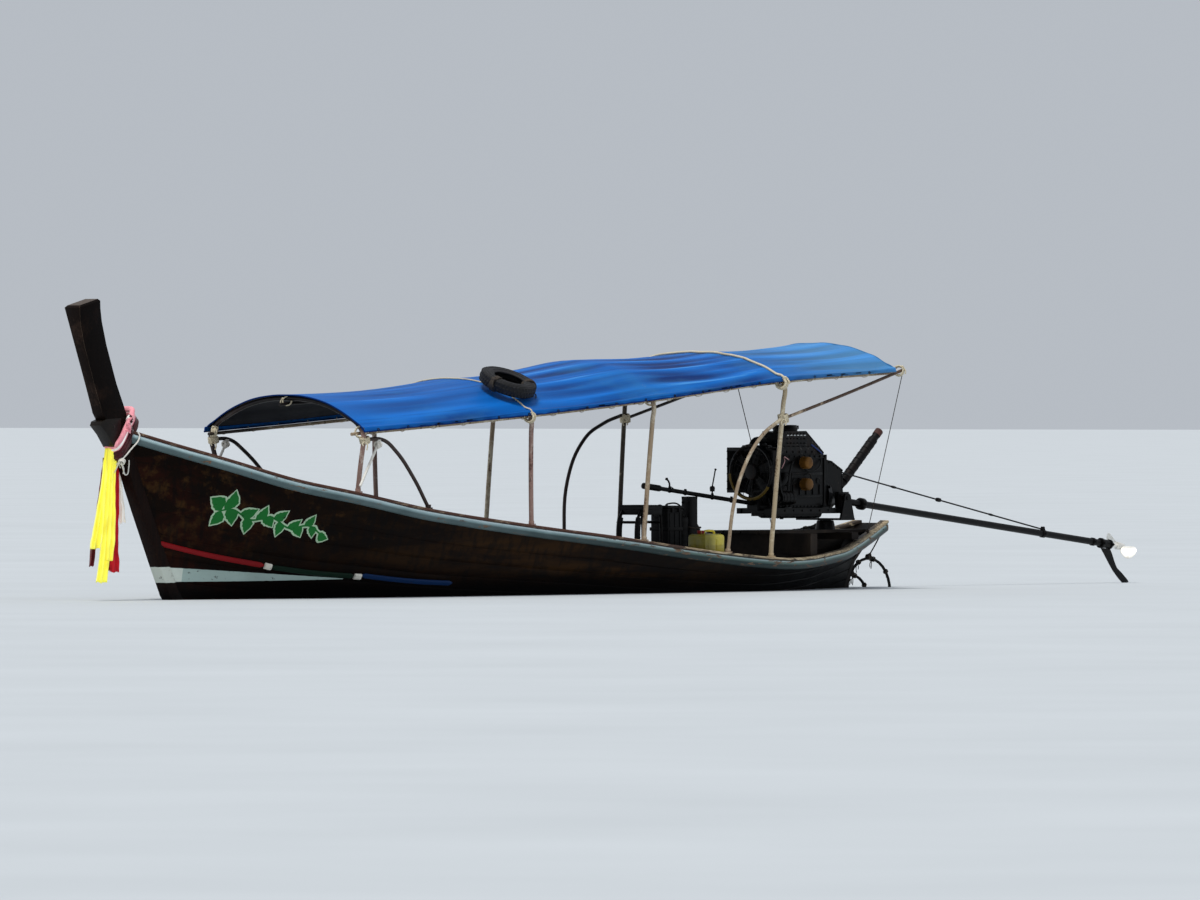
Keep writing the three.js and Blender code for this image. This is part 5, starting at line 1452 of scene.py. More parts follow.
def buildRadiator():
    bm = bmesh.new()
    face = -3.4195
    for k in range(57):
        y = -0.288 + k * 0.0089
        drawBox(bm, (face - 0.002, y - 0.0008, 0.872), (face + 0.005, y + 0.0008, 1.218), 0, finish=1)
    for k in range(24):
        z = 0.88 + k * 0.0145
        drawRod(bm, [(face + 0.001, -0.29, z), (face + 0.001, 0.215, z)], 0.0022, sides=4, straight=True,
                finish=1)
    # Columns: y from, y to, height from, height to.
    for y0, y1, z0, z1 in ((-0.302, -0.284, 0.848, 1.242), (0.209, 0.227, 0.848, 1.242),
                           (-0.302, 0.227, 0.846, 0.874), (-0.302, 0.227, 1.214, 1.244)):
        drawBox(bm, (-3.514, y0, z0), (face + 0.009, y1, z1), 0.005)
        drawBox(bm, (-3.518, y0, z0), (-3.508, y1, z1), 0.003)
    drawBolts(bm, (face + 0.009, 0.218, 0.88), (face + 0.009, 0.218, 1.21), 6, (1, 0, 0), 0.006)
    drawBolts(bm, (face + 0.009, -0.293, 0.88), (face + 0.009, -0.293, 1.21), 6, (1, 0, 0), 0.006)
    drawTurned(bm, (-3.465, 0.07, 1.256), (0, 0, 1),
               ((0.0, 0.026), (0.01, 0.026), (0.012, 0.033), (0.022, 0.034), (0.026, 0.028), (0.026, 0.0)),
               sides=24)
    drawBox(bm, (-3.492, -0.152, 1.24), (-3.438, 0.152, 1.264), 0.008)
    finishEngine("radiator_core", bm, ("engineIron", "finBlack"))
    bm = bmesh.new()
    centre = Vector(engine["fan"])
    hub = centre + Vector((-0.022, 0, 0))
    drawTurned(bm, hub + Vector((-0.01, 0, 0)), (1, 0, 0),
               ((0.0, 0.0), (0.0, 0.042), (0.006, 0.046), (0.016, 0.044), (0.022, 0.03), (0.024, 0.0)),
               sides=28)
    for k in range(6):
        turn = k * pi / 3 + 0.25
        out = Vector((0, math.cos(turn), math.sin(turn)))
        side = Vector((0, -math.sin(turn), math.cos(turn)))

        def blade(u, v):
            chord = (v - 0.5) * (0.05 + 0.046 * u)
            pitch = 0.34 - 0.12 * u
            return (hub + out * (0.036 + 0.164 * u) + side * chord * math.cos(pitch)
                    + Vector((chord * math.sin(pitch) * 0.42 + 0.004 * math.sin(v * pi), 0, 0)))

        first = len(bm.faces)
        drawSurface(bm, 8, 6, blade, 0)
        bm.faces.ensure_lookup_table()
        bmesh.ops.solidify(bm, geom=bm.faces[first:], thickness=0.002)
        drawBolts(bm, hub + out * 0.048 + Vector((0.006, 0, 0)), hub + out * 0.062 + Vector((0.006, 0, 0)), 2,
                  (1, 0, 0), 0.004)
    # Wires of the guard, and the paint on its lower half.
    for radius in (0.07, 0.112, 0.154, 0.194):
        drawRing(bm, centre + Vector((-0.002, 0, 0)), (1, 0, 0), radius, 0.0028, around=44, sides=6, finish=1)
    for k in range(12):
        turn = k * pi / 6 + 0.1
        out = Vector((0, math.cos(turn), math.sin(turn)))
        drawRod(bm, [centre + out * 0.064, centre + out * 0.15 + Vector((0.004, 0, 0)), centre + out * 0.23],
                0.0026, sides=6, finish=1)
    arc = [centre + Vector((0.006, math.cos(a) * 0.237, math.sin(a) * 0.237))
           for a in (pi * (1.02 + 0.8 * k / 16) for k in range(17))]
    drawRod(bm, arc, 0.0135, sides=10, finish=2)
    drawDrum(bm, centre + Vector((-0.006, 0, 0)), centre + Vector((0.006, 0, 0)), 0.066, soft=0.002, finish=1)
    finishEngine("fan_guard", bm, ("engineIron", "engineSteel", "guardPaint"), "engine_steel")


def buildHoses():
    bm = bmesh.new()
    # Columns: radius, finish, points along it.
    lines = (
        (0.03, 0, ((-3.47, -0.06, 1.262), (-3.5, -0.06, 1.296), (-3.56, -0.05, 1.31), (-3.64, -0.04, 1.3))),
        (0.03, 0, ((-3.512, 0.12, 0.905), (-3.545, 0.13, 0.9), (-3.58, 0.16, 0.915), (-3.62, 0.185, 0.96),
                    (-3.64, 0.172, 1.01))),
        (0.009, 0, ((-3.76, 0.168, 1.12), (-3.7, 0.196, 1.08), (-3.66, 0.2, 0.96), (-3.64, 0.21, 0.87))),
        (0.007, 0, ((-4.14, 0.168, 1.14), (-4.08, 0.196, 1.07), (-3.96, 0.186, 1.036), (-3.89, 0.186, 1.06))),
        (0.007, 1, ((-3.89, 0.19, 1.006), (-3.935, 0.205, 1.012), (-3.965, 0.2, 0.965), (-3.93, 0.19, 0.93))),
        (0.008, 0, ((-4.215, 0.12, 1.176), (-4.235, 0.14, 1.12), (-4.228, 0.15, 0.96), (-4.236, 0.12, 0.86))),
        (0.006, 2, ((-4.05, 0.13, 1.27), (-4.1, 0.15, 1.232), (-4.17, 0.15, 1.19), (-4.222, 0.13, 1.15))),
        (0.006, 0, ((-3.64, 0.14, 1.262), (-3.6, 0.16, 1.23), (-3.56, 0.165, 1.14), (-3.53, 0.15, 1.05))),
        (0.01, 0, ((-3.5, 0.24, 1.18), (-3.47, 0.256, 1.1), (-3.48, 0.25, 0.96), (-3.53, 0.232, 0.84),
                    (-3.6, 0.226, 0.8))),
        (0.008, 0, ((-3.48, 0.12, 0.8), (-3.52, 0.13, 0.69), (-3.6, 0.12, 0.628), (-3.68, 0.1, 0.66))),
        (0.006, 0, ((-3.5, 0.02, 0.79), (-3.47, 0.04, 0.7), (-3.52, 0.06, 0.64), (-3.62, 0.07, 0.65),
                    (-3.66, 0.08, 0.7))),
        (0.005, 3, ((-3.52, 0.236, 1.06), (-3.56, 0.236, 1.12), (-3.61, 0.19, 1.16), (-3.69, 0.176, 1.136))),
    )
    for radius, finish, points in lines:
        drawRod(bm, points, radius, sides=10, finish=finish, fine=8)
    for centre, axis, radius in (((-3.474, -0.06, 1.27), (0, 0, 1), 0.032),
                                 ((-3.632, -0.041, 1.301), (1, 0, 0), 0.032),
                                 ((-3.52, 0.122, 0.904), (1, 0, 0), 0.032),
                                 ((-3.638, 0.175, 1.0), (0, 0, 1), 0.032)):
        drawRing(bm, centre, axis, radius, 0.004, around=24, sides=6, finish=1)
    finishEngine("engine_hoses", bm, ("hoseBlack", "engineSteel", "wireBlue", "wirePale"), crease=40)
    for node, (x, z, side) in {"filter_1": (-3.89, 1.11, 0.16), "filter_2": (-3.89, 0.92, 0.164)}.items():
        bm = bmesh.new()
        start = side + 0.0003
        drawTurned(bm, (x, start, z), (0, 1, 0),
                   ((0.0, 0.0), (0.0, 0.04), (0.006, 0.044), (0.012, 0.0535), (0.018, 0.054), (0.07, 0.054),
                    (0.08, 0.052), (0.088, 0.044), (0.0915, 0.03), (0.092, 0.0)), sides=36)
        for k in range(12):
            turn = k * pi / 6
            atX, atZ = x + math.cos(turn) * 0.045, z + math.sin(turn) * 0.045
            drawBox(bm, (atX - 0.003, start + 0.082, atZ - 0.003), (atX + 0.003, start + 0.088, atZ + 0.003),
                    0.001)
        drawRing(bm, (x, start + 0.018, z), (0, 1, 0), 0.0538, 0.0016, around=36, sides=6)
        finishEngine(f"{node}_can", bm, "filterCan", "filter_yellow", [node])
        bm = bmesh.new()
        drawBox(bm, (x - 0.06, side - 0.002, z - 0.026), (x + 0.06, side + 0.012, z + 0.058), 0.005)
        drawBolts(bm, (x - 0.046, side + 0.012, z + 0.044), (x + 0.046, side + 0.012, z + 0.044), 2,
                  (0, 1, 0), 0.007)
        finishEngine(f"{node}_head", bm)


def buildExhaust():
    bm = bmesh.new()
    route = [(-4.232, -0.06, 1.12), (-4.3, -0.06, 1.09), (-4.42, -0.06, 1.0), (-4.56, -0.03, 0.9),
             (-4.62, -0.02, 0.905), (-4.78, -0.01, 1.05), (-5.148, 0, 1.388)]
    drawRod(bm, route[:6] + [(-4.96, -0.004, 1.216), route[6]], 0.034, sides=24, fine=8)
    along = (Vector(route[6]) - Vector(route[5])).normalized()
    end = Vector(route[6])
    drawTurned(bm, end - along * 0.06, along, ((0.0, 0.03), (0.0, 0.0375), (0.056, 0.0375), (0.06, 0.0355),
                                                (0.06, 0.027), (0.012, 0.0265)), sides=28, finish=1)
    for share in (0.18, 0.52):
        at = Vector(route[5]).lerp(end, share)
        drawRing(bm, at, along, 0.0345, 0.0045, around=28, sides=8, finish=1)
    # Bandage wound round the straight length against the heat.
    wrap = [(0.004, 0.034)]
    for k in range(23):
        wrap += [(0.008 + k * 0.024, 0.0425 + 0.0012 * (k % 3)),
                 (0.026 + k * 0.024, 0.0405 + 0.001 * (k % 2))]
    drawTurned(bm, Vector(route[5]) - along * 0.166, along, wrap + [(0.568, 0.034)], sides=26)
    drawRing(bm, (-4.24, -0.06, 1.116), (1, 0, -0.4), 0.038, 0.008, around=28, sides=8)
    drawBox(bm, (-4.246, -0.112, 1.068), (-4.233, -0.008, 1.17), 0.004)
    drawBolts(bm, (-4.246, -0.102, 1.08), (-4.246, -0.018, 1.158), 2, (-1, 0, 0), 0.007)
    finishEngine("exhaust_pipe", bm, ("pipeSooty", "pipeRust"), "engine_steel", ["exhaust"], 35)


def buildBell():
    bm = bmesh.new()
    for k in range(10):
        turn = k * pi / 5 + 0.2
        y, z = math.cos(turn) * 0.176, math.sin(turn) * 0.176
        if 0.86 + z > 0.735:
            at = (-4.246, y, 0.862 + z * 0.92)
            drawBolts(bm, at, at, 1, (-1, 0, 0))
    for side in (1, -1):
        # Bolts of the cradle's rails and cheeks, and the engine's feet.
        y = side * 0.212
        drawBolts(bm, (-4.43, y, 0.69), (-3.48, y, 0.69), 9, (0, side, 0), 0.008)
        drawBolts(bm, (-4.44, y, 0.82), (-4.36, y, 0.82), 2, (0, side, 0), 0.009)
        for x in (-4.15, -3.64):
            drawBox(bm, (x - 0.045, side * 0.15, 0.708), (x + 0.045, side * 0.214, 0.722), 0.003)
            drawDrum(bm, (x, side * 0.19, 0.72), (x, side * 0.19, 0.752), 0.012, sides=6, soft=0.001)
    # Rim and bolts of the cover over the drive, and the lug that takes the tail's stay.
    rim = [(-4.24, 1.13), (-4.33, 1.116), (-4.47, 1.043), (-4.483, 0.806), (-4.304, 0.806), (-4.24, 0.922)]
    for y in (0.0215, 0.1265):
        drawRod(bm, [(x, y, z) for x, z in rim + rim[:1]], 0.0075, sides=8, straight=True)
    for (x0, z0), (x1, z1) in zip(rim, rim[1:]):
        lowX, lowZ = x0 + (x1 - x0) * 0.2, z0 + (z1 - z0) * 0.2
        drawBolts(bm, (lowX - 0.006, 0.131, lowZ - 0.014), (x1 - 0.002, 0.131, z1 - 0.004), 3, (0, 1, 0),
                  0.007)
    drawDrum(bm, (-4.486, 0.05, 1.03), (-4.486, 0.09, 1.03), 0.016, sides=16, soft=0.003)
    finishEngine("cradle_fixings", bm)


def greaseFinish(name, base, worn, shine, rough=0.4, metal=0.2, wear=0.35):
    f = Finish(name)
    soot = f.cloud(7.0, 6.0, 0.65)
    fine = f.cloud(46.0, 4.0, 0.65)
    runs = f.cloud(12.0, 4.0, 0.6, f.stretched((1.6, 1.6, 0.4)))
    bare = (fine * 0.6 + soot * 0.4).over(0.62 - wear * 0.14, 0.66 - wear * 0.08)
    colour = f.mix(soot.over(0.35, 0.7), darker(base, 0.45), base)
    colour = f.mix(runs.over(0.52, 0.66) * 0.6, colour, worn)
    colour = f.mix(bare * 0.5, colour, shine)
    roughness = rough + (soot - 0.5) * 0.3 + bare * 0.08
    return f.surface(Base_Color=colour, Roughness=roughness, Metallic=metal * (0.4 + bare * 0.6),
                     Specular_IOR_Level=0.16, Normal=f.bump(fine * 0.5 + soot * 0.5, 0.0012, 0.6))


addFinishes(
    greaseFinish, ("engineIron", (7, 7, 8), (26, 17, 12), (58, 55, 52)),
    ("engineSteel", (16, 16, 17), (38, 25, 18), (112, 108, 102), 0.38),
    ("finBlack", (10, 11, 12), (26, 24, 22), (52, 54, 56), 0.5, 0.3),
    ("filterCan", (132, 90, 36), (52, 34, 20), (160, 120, 60), 0.45, 0.1),
    ("pipeSooty", (13, 11, 13), (34, 22, 18), (44, 38, 38), 0.55, 0.3),
    ("pipeRust", (96, 62, 56), (56, 34, 28), (150, 118, 104), 0.6, 0.2),
    ("tailBlack", (5, 5, 6), (24, 17, 14), (52, 46, 42), 0.42, 0.1, 0.25))
# Columns: name, colour, worn colour, roughness, metal, grain, wear.
addFinishes(
    wornFinish, ("hoseBlack", (12, 12, 13), (44, 42, 42), 0.55, 0.0, 30.0, 0.2),
    ("wireBlue", (52, 74, 140), (24, 30, 54), 0.45, 0.0, 30.0, 0.3),
    ("wirePale", (196, 150, 150), (96, 66, 66), 0.5, 0.0, 30.0, 0.3),
    ("glint", (220, 222, 222), (120, 120, 118), 0.3, 0.2, 30.0, 0.2),
    ("guardPaint", (122, 100, 42), (52, 38, 26), 0.5, 0.1, 22.0, 0.45),
    ("boxBlack", (7, 7, 8), (34, 32, 30), 0.6, 0.0, 8.0, 0.3),
    ("canCap", (150, 30, 26), (80, 24, 20), 0.4, 0.0, 20.0, 0.3))
dress("engineIron", "engine_block", "bell_housing", "engine_cradle", "swivel_yoke", "pivot_seat", "tiller",
      "helm_stool")
dress("engineSteel", "cylinder_head", "radiator")
buildBlock()
buildHead()
buildRadiator()
buildHoses()
buildExhaust()
buildBell()
print("engine fitted")


# Middle lines of the tiller and of the tail tube: a point on each, and how far each rises in a metre.
tillerLine = {"x": -3.25, "z": 0.77, "slope": 0.1108}
tailLine = {"x": -4.62, "z": 0.77, "slope": 0.1104}


def linePoint(line, x, y, lift):
    return Vector((x, y, line["z"] + (x - line["x"]) * line["slope"] + lift))


def tillerPoint(x, y=0.0, lift=0.0):
    return linePoint(tillerLine, x, y, lift)


def tailPoint(x, y=0.0, lift=0.0):
    return linePoint(tailLine, x, y, lift)


helm = {"deck": 0.2923, "box": (-2.345, -2.155, -0.105, 0.095), "boxTop": 0.742, "crutch": -2.555,
        "can": (-2.33, -2.06, 0.395, 0.605), "canTop": 0.5}


def buildHelmBox():
    bm = bmesh.new()
    aft, fore, left, right = helm["box"]
    low, high = helm["deck"] + 0.001, helm["boxTop"]
    drawBox(bm, (aft, left, low), (fore, right, high - 0.02), 0.016)
    drawBox(bm, (aft - 0.014, left - 0.012, high - 0.026), (fore + 0.014, right + 0.012, high), 0.01)
    drawBox(bm, (aft - 0.005, left - 0.004, high - 0.046), (fore + 0.005, right + 0.004, high - 0.03), 0.003)
    for x in (aft + 0.03, (aft + fore) / 2, fore - 0.03):
        drawBox(bm, (x - 0.007, left - 0.006, low + 0.02), (x + 0.007, right + 0.006, high - 0.06), 0.004)
    for z in (low + 0.06, low + 0.23):
        drawBox(bm, (aft - 0.004, left - 0.008, z), (fore + 0.004, right + 0.008, z + 0.03), 0.004)
    drawRod(bm, [(fore + 0.012, -0.05, high - 0.06), (fore + 0.03, -0.046, high - 0.092),
                 (fore + 0.032, 0.036, high - 0.092), (fore + 0.012, 0.04, high - 0.06)], 0.006)
    for x in (aft + 0.05, fore - 0.05):
        drawBox(bm, (x - 0.012, right + 0.004, high - 0.058), (x + 0.012, right + 0.018, high - 0.018), 0.004)
        drawDrum(bm, (x, -0.04, high - 0.002), (x, -0.04, high + 0.01), 0.012, sides=16, soft=0.002)
    drawRod(bm, [(aft + 0.05, -0.04, high + 0.006), (aft + 0.06, -0.02, high + 0.014),
                 (aft + 0.02, 0.08, high + 0.004), (aft - 0.018, 0.07, high - 0.08),
                 (aft - 0.03, 0.04, low + 0.15)], 0.007)
    finishPiece("helm_box", bm, "boxBlack", slot="engine_iron", stands=["battery_box"], crease=32)
    # Ribbed oil can that stands between the box and the crutch, with a screw cap and a hooped handle.
    bm = bmesh.new()
    at = Vector((-2.448, 0.0, helm["deck"] + 0.002))
    rows = [(0.0, 0.0), (0.0, 0.05), (0.006, 0.056)]
    for k in range(6):
        rows += [(0.02 + k * 0.052, 0.0565), (0.034 + k * 0.052, 0.06), (0.048 + k * 0.052, 0.06)]
    rows += [(0.34, 0.056), (0.356, 0.04), (0.36, 0.022), (0.376, 0.022), (0.378, 0.027), (0.396, 0.027),
             (0.399, 0.024), (0.399, 0.0)]
    drawTurned(bm, at, (0, 0, 1), rows, sides=32)
    handle = ((0, -0.05, 0.33), (0.01, -0.046, 0.4), (0.014, 0, 0.424), (0.01, 0.046, 0.4), (0, 0.05, 0.33))
    drawRod(bm, [at + Vector(point) for point in handle], 0.005)
    finishPiece("oil_can", bm, "boxBlack", slot="engine_iron", crease=35)


def buildCrutch():
    bm = bmesh.new()
    x, low = helm["crutch"], helm["deck"] + 0.001
    saddle = tillerPoint(x).z - 0.019 - 0.0095
    # Columns: half length, half width, height of each ring of the body, from the deck up.
    rows = ((0.07, 0.078, low), (0.075, 0.08, low + 0.05), (0.073, 0.077, 0.48), (0.075, 0.08, 0.535),
            (0.066, 0.07, 0.56), (0.055, 0.059, 0.58), (0.054, 0.058, saddle - 0.03), (0.056, 0.06, saddle))
    corners = 20

    def place(u, k):
        half, wide, z = rows[round(u * (len(rows) - 1))]
        angle = 2 * pi * k / corners
        square = [math.copysign(abs(part) ** 0.45, part) for part in (math.cos(angle), math.sin(angle))]
        return Vector((x + square[0] * half, square[1] * wide, z)) + wobble((x, k, z), 0.003, 3.0, 4)

    drawBar(bm, len(rows) - 1, corners, place)
    for z in (0.42, 0.548):
        ring = [(x + math.copysign(abs(math.cos(a)) ** 0.45, math.cos(a)) * 0.079,
                 math.copysign(abs(math.sin(a)) ** 0.45, math.sin(a)) * 0.083, z + 0.004 * math.sin(a * 3))
                for a in (2 * pi * k / 24 for k in range(24))]
        drawRod(bm, ring, 0.006, closed=True, finish=1, fine=2)
    drawBolts(bm, (x + 0.056, -0.03, saddle - 0.05), (x + 0.056, 0.03, saddle - 0.05), 2, (1, 0, 0), 0.008)
    finishPiece("crutch_post", bm, ("boxBlack", "ropeDark"), slot="engine_iron", stands=["tiller_crutch"],
                crease=45)


def buildCan():
    bm = bmesh.new()
    aft, fore, left, right = helm["can"]
    low, high = helm["deck"] + 0.003, helm["canTop"]
    drawBox(bm, (aft, left, low), (fore, right, high), 0.03)
    for face in (left - 0.0005, right + 0.0005):
        side = 1 if face > 0.5 else -1
        for x0, x1 in ((aft + 0.034, (aft + fore) / 2 - 0.012), ((aft + fore) / 2 + 0.012, fore - 0.034)):
            drawBox(bm, (x0, face - side * 0.004, low + 0.04), (x1, face + side * 0.0035, high - 0.044),
                    0.004)
    for y0, y1 in ((left + 0.034, left + 0.094), (right - 0.094, right - 0.034)):
        drawBox(bm, (fore - 0.004, y0, low + 0.04), (fore + 0.0035, y1, high - 0.044), 0.004)
        drawBox(bm, (aft - 0.0035, y0, low + 0.04), (aft + 0.004, y1, high - 0.044), 0.004)
    drawTurned(bm, (-2.12, 0.5, high - 0.006), (0, 0, 1),
               ((0.0, 0.022), (0.01, 0.022), (0.011, 0.0315), (0.014, 0.032), (0.032, 0.0315), (0.036, 0.028),
                (0.037, 0.0)), sides=32, finish=1)
    for k in range(16):
        turn = k * pi / 8
        at = Vector((-2.12 + math.cos(turn) * 0.0315, 0.5 + math.sin(turn) * 0.0315, high + 0.008))
        drawRod(bm, [at, at + Vector((0, 0, 0.014))], 0.0016, sides=4, straight=True, finish=1)
    drawRod(bm, [(-2.3, 0.5, high - 0.004), (-2.292, 0.5, high + 0.02), (-2.262, 0.5, high + 0.026),
                 (-2.2, 0.5, high + 0.026), (-2.172, 0.5, high + 0.02), (-2.164, 0.5, high - 0.004)], 0.01,
            sides=12)
    finishPiece("fuel_can_shell", bm, ("canShell", "canCap"), slot="can_plastic", stands=["fuel_can"],
                crease=35)


def buildTiller():
    bm = bmesh.new()
    slope = Vector((1, 0, tillerLine["slope"])).normalized()
    for k in range(30):
        at = tillerPoint(-2.15 + k * 0.0068)
        drawRing(bm, at, slope, 0.0245, 0.0036, around=20, sides=6)
    drawTurned(bm, tillerPoint(-1.952), slope,
               ((0.0, 0.024), (0.006, 0.027), (0.01, 0.027), (0.014, 0.022), (0.014, 0.0)),
               sides=20)
    drawTurned(bm, tillerPoint(-2.25, 0, 0.092), (0.5, 0, 0.5),
               ((-0.01, 0.0), (-0.008, 0.01), (0.0, 0.0145), (0.008, 0.01), (0.012, 0.0)), sides=16)
    drawTurned(bm, tillerPoint(-2.905, 0, 0.244), (-0.2, 0, 1),
               ((-0.008, 0.0), (-0.006, 0.008), (0.002, 0.011), (0.008, 0.008), (0.01, 0.0)), sides=16)
    drawTurned(bm, tillerPoint(-2.862, 0, 0.06), (0, 0, 1),
               ((-0.012, 0.0), (-0.012, 0.02), (0.016, 0.024), (0.034, 0.018), (0.036, 0.0)), sides=18)
    for x in (-2.29, -2.5, -2.862, -3.12):
        drawRing(bm, tillerPoint(x), slope, 0.0205, 0.005, around=20, sides=6, finish=1)
        drawBox(bm, tillerPoint(x) + Vector((-0.01, -0.008, 0.018)),
                tillerPoint(x) + Vector((0.01, 0.008, 0.032)),
                0.002, finish=1)
    line = [tillerPoint(-2.292, 0.01, 0.03)]
    line += [tillerPoint(x, 0.024, 0.006 + 0.004 * math.sin(x * 14)) for x in (-2.36, -2.5, -2.7, -2.9, -3.12,
                                                                               -3.3)]
    line += [Vector((-3.405, 0.05, 0.8)), Vector((-3.44, 0.11, 0.84)), Vector((-3.53, 0.15, 0.86))]
    drawRod(bm, line, 0.0042, sides=6)
    finishEngine("tiller_fittings", bm, ("hoseBlack", "engineSteel"), crease=40)


# Propeller. Columns: radius, half chord, pitch in degrees, half thickness.
bladeRows = ((0.026, 0.03, 58, 0.006), (0.05, 0.048, 52, 0.0055), (0.08, 0.062, 46, 0.0048),
             (0.13, 0.07, 36, 0.0036), (0.17, 0.05, 30, 0.0024), (0.184, 0.026, 28.5, 0.0018),
             (0.1879, 0.006, 28, 0.0012))
propeller = {"x": -8.585, "blades": 2, "rest": 2.0, "corners": 22, "steps": 26}


def buildPropeller():
    bm = bmesh.new()
    centre = tailPoint(propeller["x"])
    lean = Matrix.Rotation(-math.atan(tailLine["slope"]), 3, "Y")
    axis = lean @ Vector((1, 0, 0))
    drawTurned(bm, centre, axis,
               ((-0.06, 0.0), (-0.06, 0.012), (-0.052, 0.019), (-0.044, 0.0245), (-0.02, 0.0295),
                (0.03, 0.0345), (0.052, 0.036), (0.06, 0.034), (0.06, 0.0152), (0.142, 0.015), (0.142, 0.0)),
                sides=36)
    drawDrum(bm, centre - axis * 0.06, centre - axis * 0.048, 0.0165, sides=6, soft=0.0015)
    corners, steps = propeller["corners"], propeller["steps"]
    for blade in range(propeller["blades"]):
        turn = lean @ Matrix.Rotation(blade * 2 * pi / propeller["blades"] - propeller["rest"], 3, "X")

        def place(u, k):
            radius = bladeRows[0][0] + (bladeRows[-1][0] - bladeRows[0][0]) * (1 - (1 - u) ** 1.6)
            chord, pitch, thick = (smoothAt(bladeRows, radius, column) for column in (1, 2, 3))
            angle = 2 * pi * k / corners
            across = chord * math.cos(angle)
            rise = thick * math.sin(angle) + 0.004 * (1 - (across / max(chord, 0.001)) ** 2) * (1 - u)
            sweep = 0.01 * u * u
            pitch = math.radians(pitch)
            return centre + turn @ Vector((across * math.sin(pitch) + rise * math.cos(pitch),
                                           across * math.cos(pitch) - rise * math.sin(pitch) + sweep, radius))

        drawBar(bm, steps, corners, place)
    finishPiece("propeller_cast", bm, "bladeBright", "propeller", slot="blade_metal", stands=["propeller"],
                crease=50)


def buildTail():
    bm = bmesh.new()
    slope = Vector((1, 0, tailLine["slope"])).normalized()
    # Columns: x along the tube, radius of the tube there, half length of the clamp.
    for x, radius, half in ((-4.895, 0.046, 0.026), (-7.46, 0.03, 0.022), (-8.18, 0.03, 0.018),
                            (-8.3, 0.04, 0.014), (-8.42, 0.038, 0.012)):
        rows = ((-half, radius - 0.001), (-half, radius + 0.005), (-half + 0.003, radius + 0.007),
                (half - 0.003, radius + 0.007), (half, radius + 0.005), (half, radius - 0.001))
        drawTurned(bm, tailPoint(x), slope, rows, sides=30)
        for side in (1, -1):
            drawBox(bm, tailPoint(x) + Vector((-half * 0.8, side * (radius + 0.002), -0.007)),
                    tailPoint(x) + Vector((half * 0.8, side * (radius + 0.022), 0.007)), 0.002)
            out = side * (radius + 0.013)
            drawDrum(bm, tailPoint(x, out, -0.014), tailPoint(x, out, 0.014), 0.005, sides=6, soft=0.001)
    # Sleeves on the stiffening rod: its foot, its swell and two turnbuckles.
    stay = [Vector(point) for point in ((-7.46, 0, 0.494), (-5.93, 0.036, 0.77), (-4.493, 0.07, 1.03))]
    spots = [(stay[0], 0.018, 0.013), (stay[1], 0.03, 0.019), (stay[1].lerp(stay[2], 0.45), 0.034, 0.012),
             (stay[0].lerp(stay[1], 0.5), 0.03, 0.011), (stay[2], 0.016, 0.013)]
    for at, half, radius in spots:
        drawTurned(bm, at, stay[2] - stay[0],
                   ((-half, 0.0), (-half * 0.9, radius * 0.8), (-half * 0.2, radius),
                    (half * 0.2, radius), (half * 0.9, radius * 0.8), (half, 0.0)), sides=14)
    drawDrum(bm, (-7.46, 0, 0.484), (-7.46, 0, 0.52), 0.024, 0.018, sides=16, soft=0.004)
    finishEngine("tail_fittings", bm, "tailBlack", crease=35)


# Helmsman's stool: slats and aprons of the seat, and hose drawn over its fore legs.
def buildStoolTrim():
    bm = bmesh.new()
    for k in range(5):
        drawBox(bm, (-2.018 + k * 0.048, -0.152, 0.7385), (-1.976 + k * 0.048, 0.152, 0.75), 0.004)
    for y in (-0.15, 0.128):
        drawBox(bm, (-2.016, y, 0.664), (-1.784, y + 0.022, 0.7115), 0.004)
    for x in (-1.8, -2.018):
        drawBox(bm, (x, -0.128, 0.664), (x + 0.018, 0.128, 0.7115), 0.004)
    for y in (-0.105, 0.105):
        drawRod(bm, [(-1.736, y, 0.312), (-1.739, y, 0.44), (-1.743, y, 0.56), (-1.757, y, 0.64)], 0.026,
                sides=16, finish=1)
        for z in (0.33, 0.47, 0.6):
            drawRing(bm, (-1.737 - (z - 0.33) * 0.03, y, z), (0, 0, 1), 0.026, 0.003, around=20, sides=6,
                     finish=1)
    finishPiece("stool_trim", bm, ("boxBlack", "hoseBlack"), slot="engine_iron", crease=35)


# Bundle of netting lashed on the starboard rail by the quarter: three strands laid up together.
def buildNetBundle():
    bm = bmesh.new()
    bundle = {"aft": -4.66, "fore": -4.31, "strand": 0.0185, "offset": 0.0175, "turns": 2.2}

    def middle(t):
        x = bundle["aft"] + (bundle["fore"] - bundle["aft"]) * t
        return Vector((x, -railAt(x)[0] + 0.008, capTop(x) + 0.037))

    for strand in range(3):
        points = []
        for k in range(25):
            t = k / 24
            turn = t * bundle["turns"] * 2 * pi + strand * 2 * pi / 3
            loose = bundle["offset"] * (1 + 0.2 * noise.noise((t * 6, strand, 2.0)))
            points.append(middle(t) + Vector((0, math.cos(turn) * loose, math.sin(turn) * loose)))
        drawRod(bm, points, bundle["strand"], sides=12, fine=3)
    for t, seed in ((0.06, 81), (0.36, 82), (0.66, 83), (0.94, 84)):
        drawLashing(bm, middle(t), middle(t + 0.01) - middle(t), 0.036, 0.024, 4, 0.004, finish=1, seed=seed)
    finishPiece("net_bundle", bm, ("netDark", "ropeDark"), crease=60)


# Tyre on the canopy: a hollow carcass with tread blocks and ribs, and the cord that ties it down.
tyre = {"x": 0.56, "y": 0.64, "radius": 0.19, "blocks": 46}


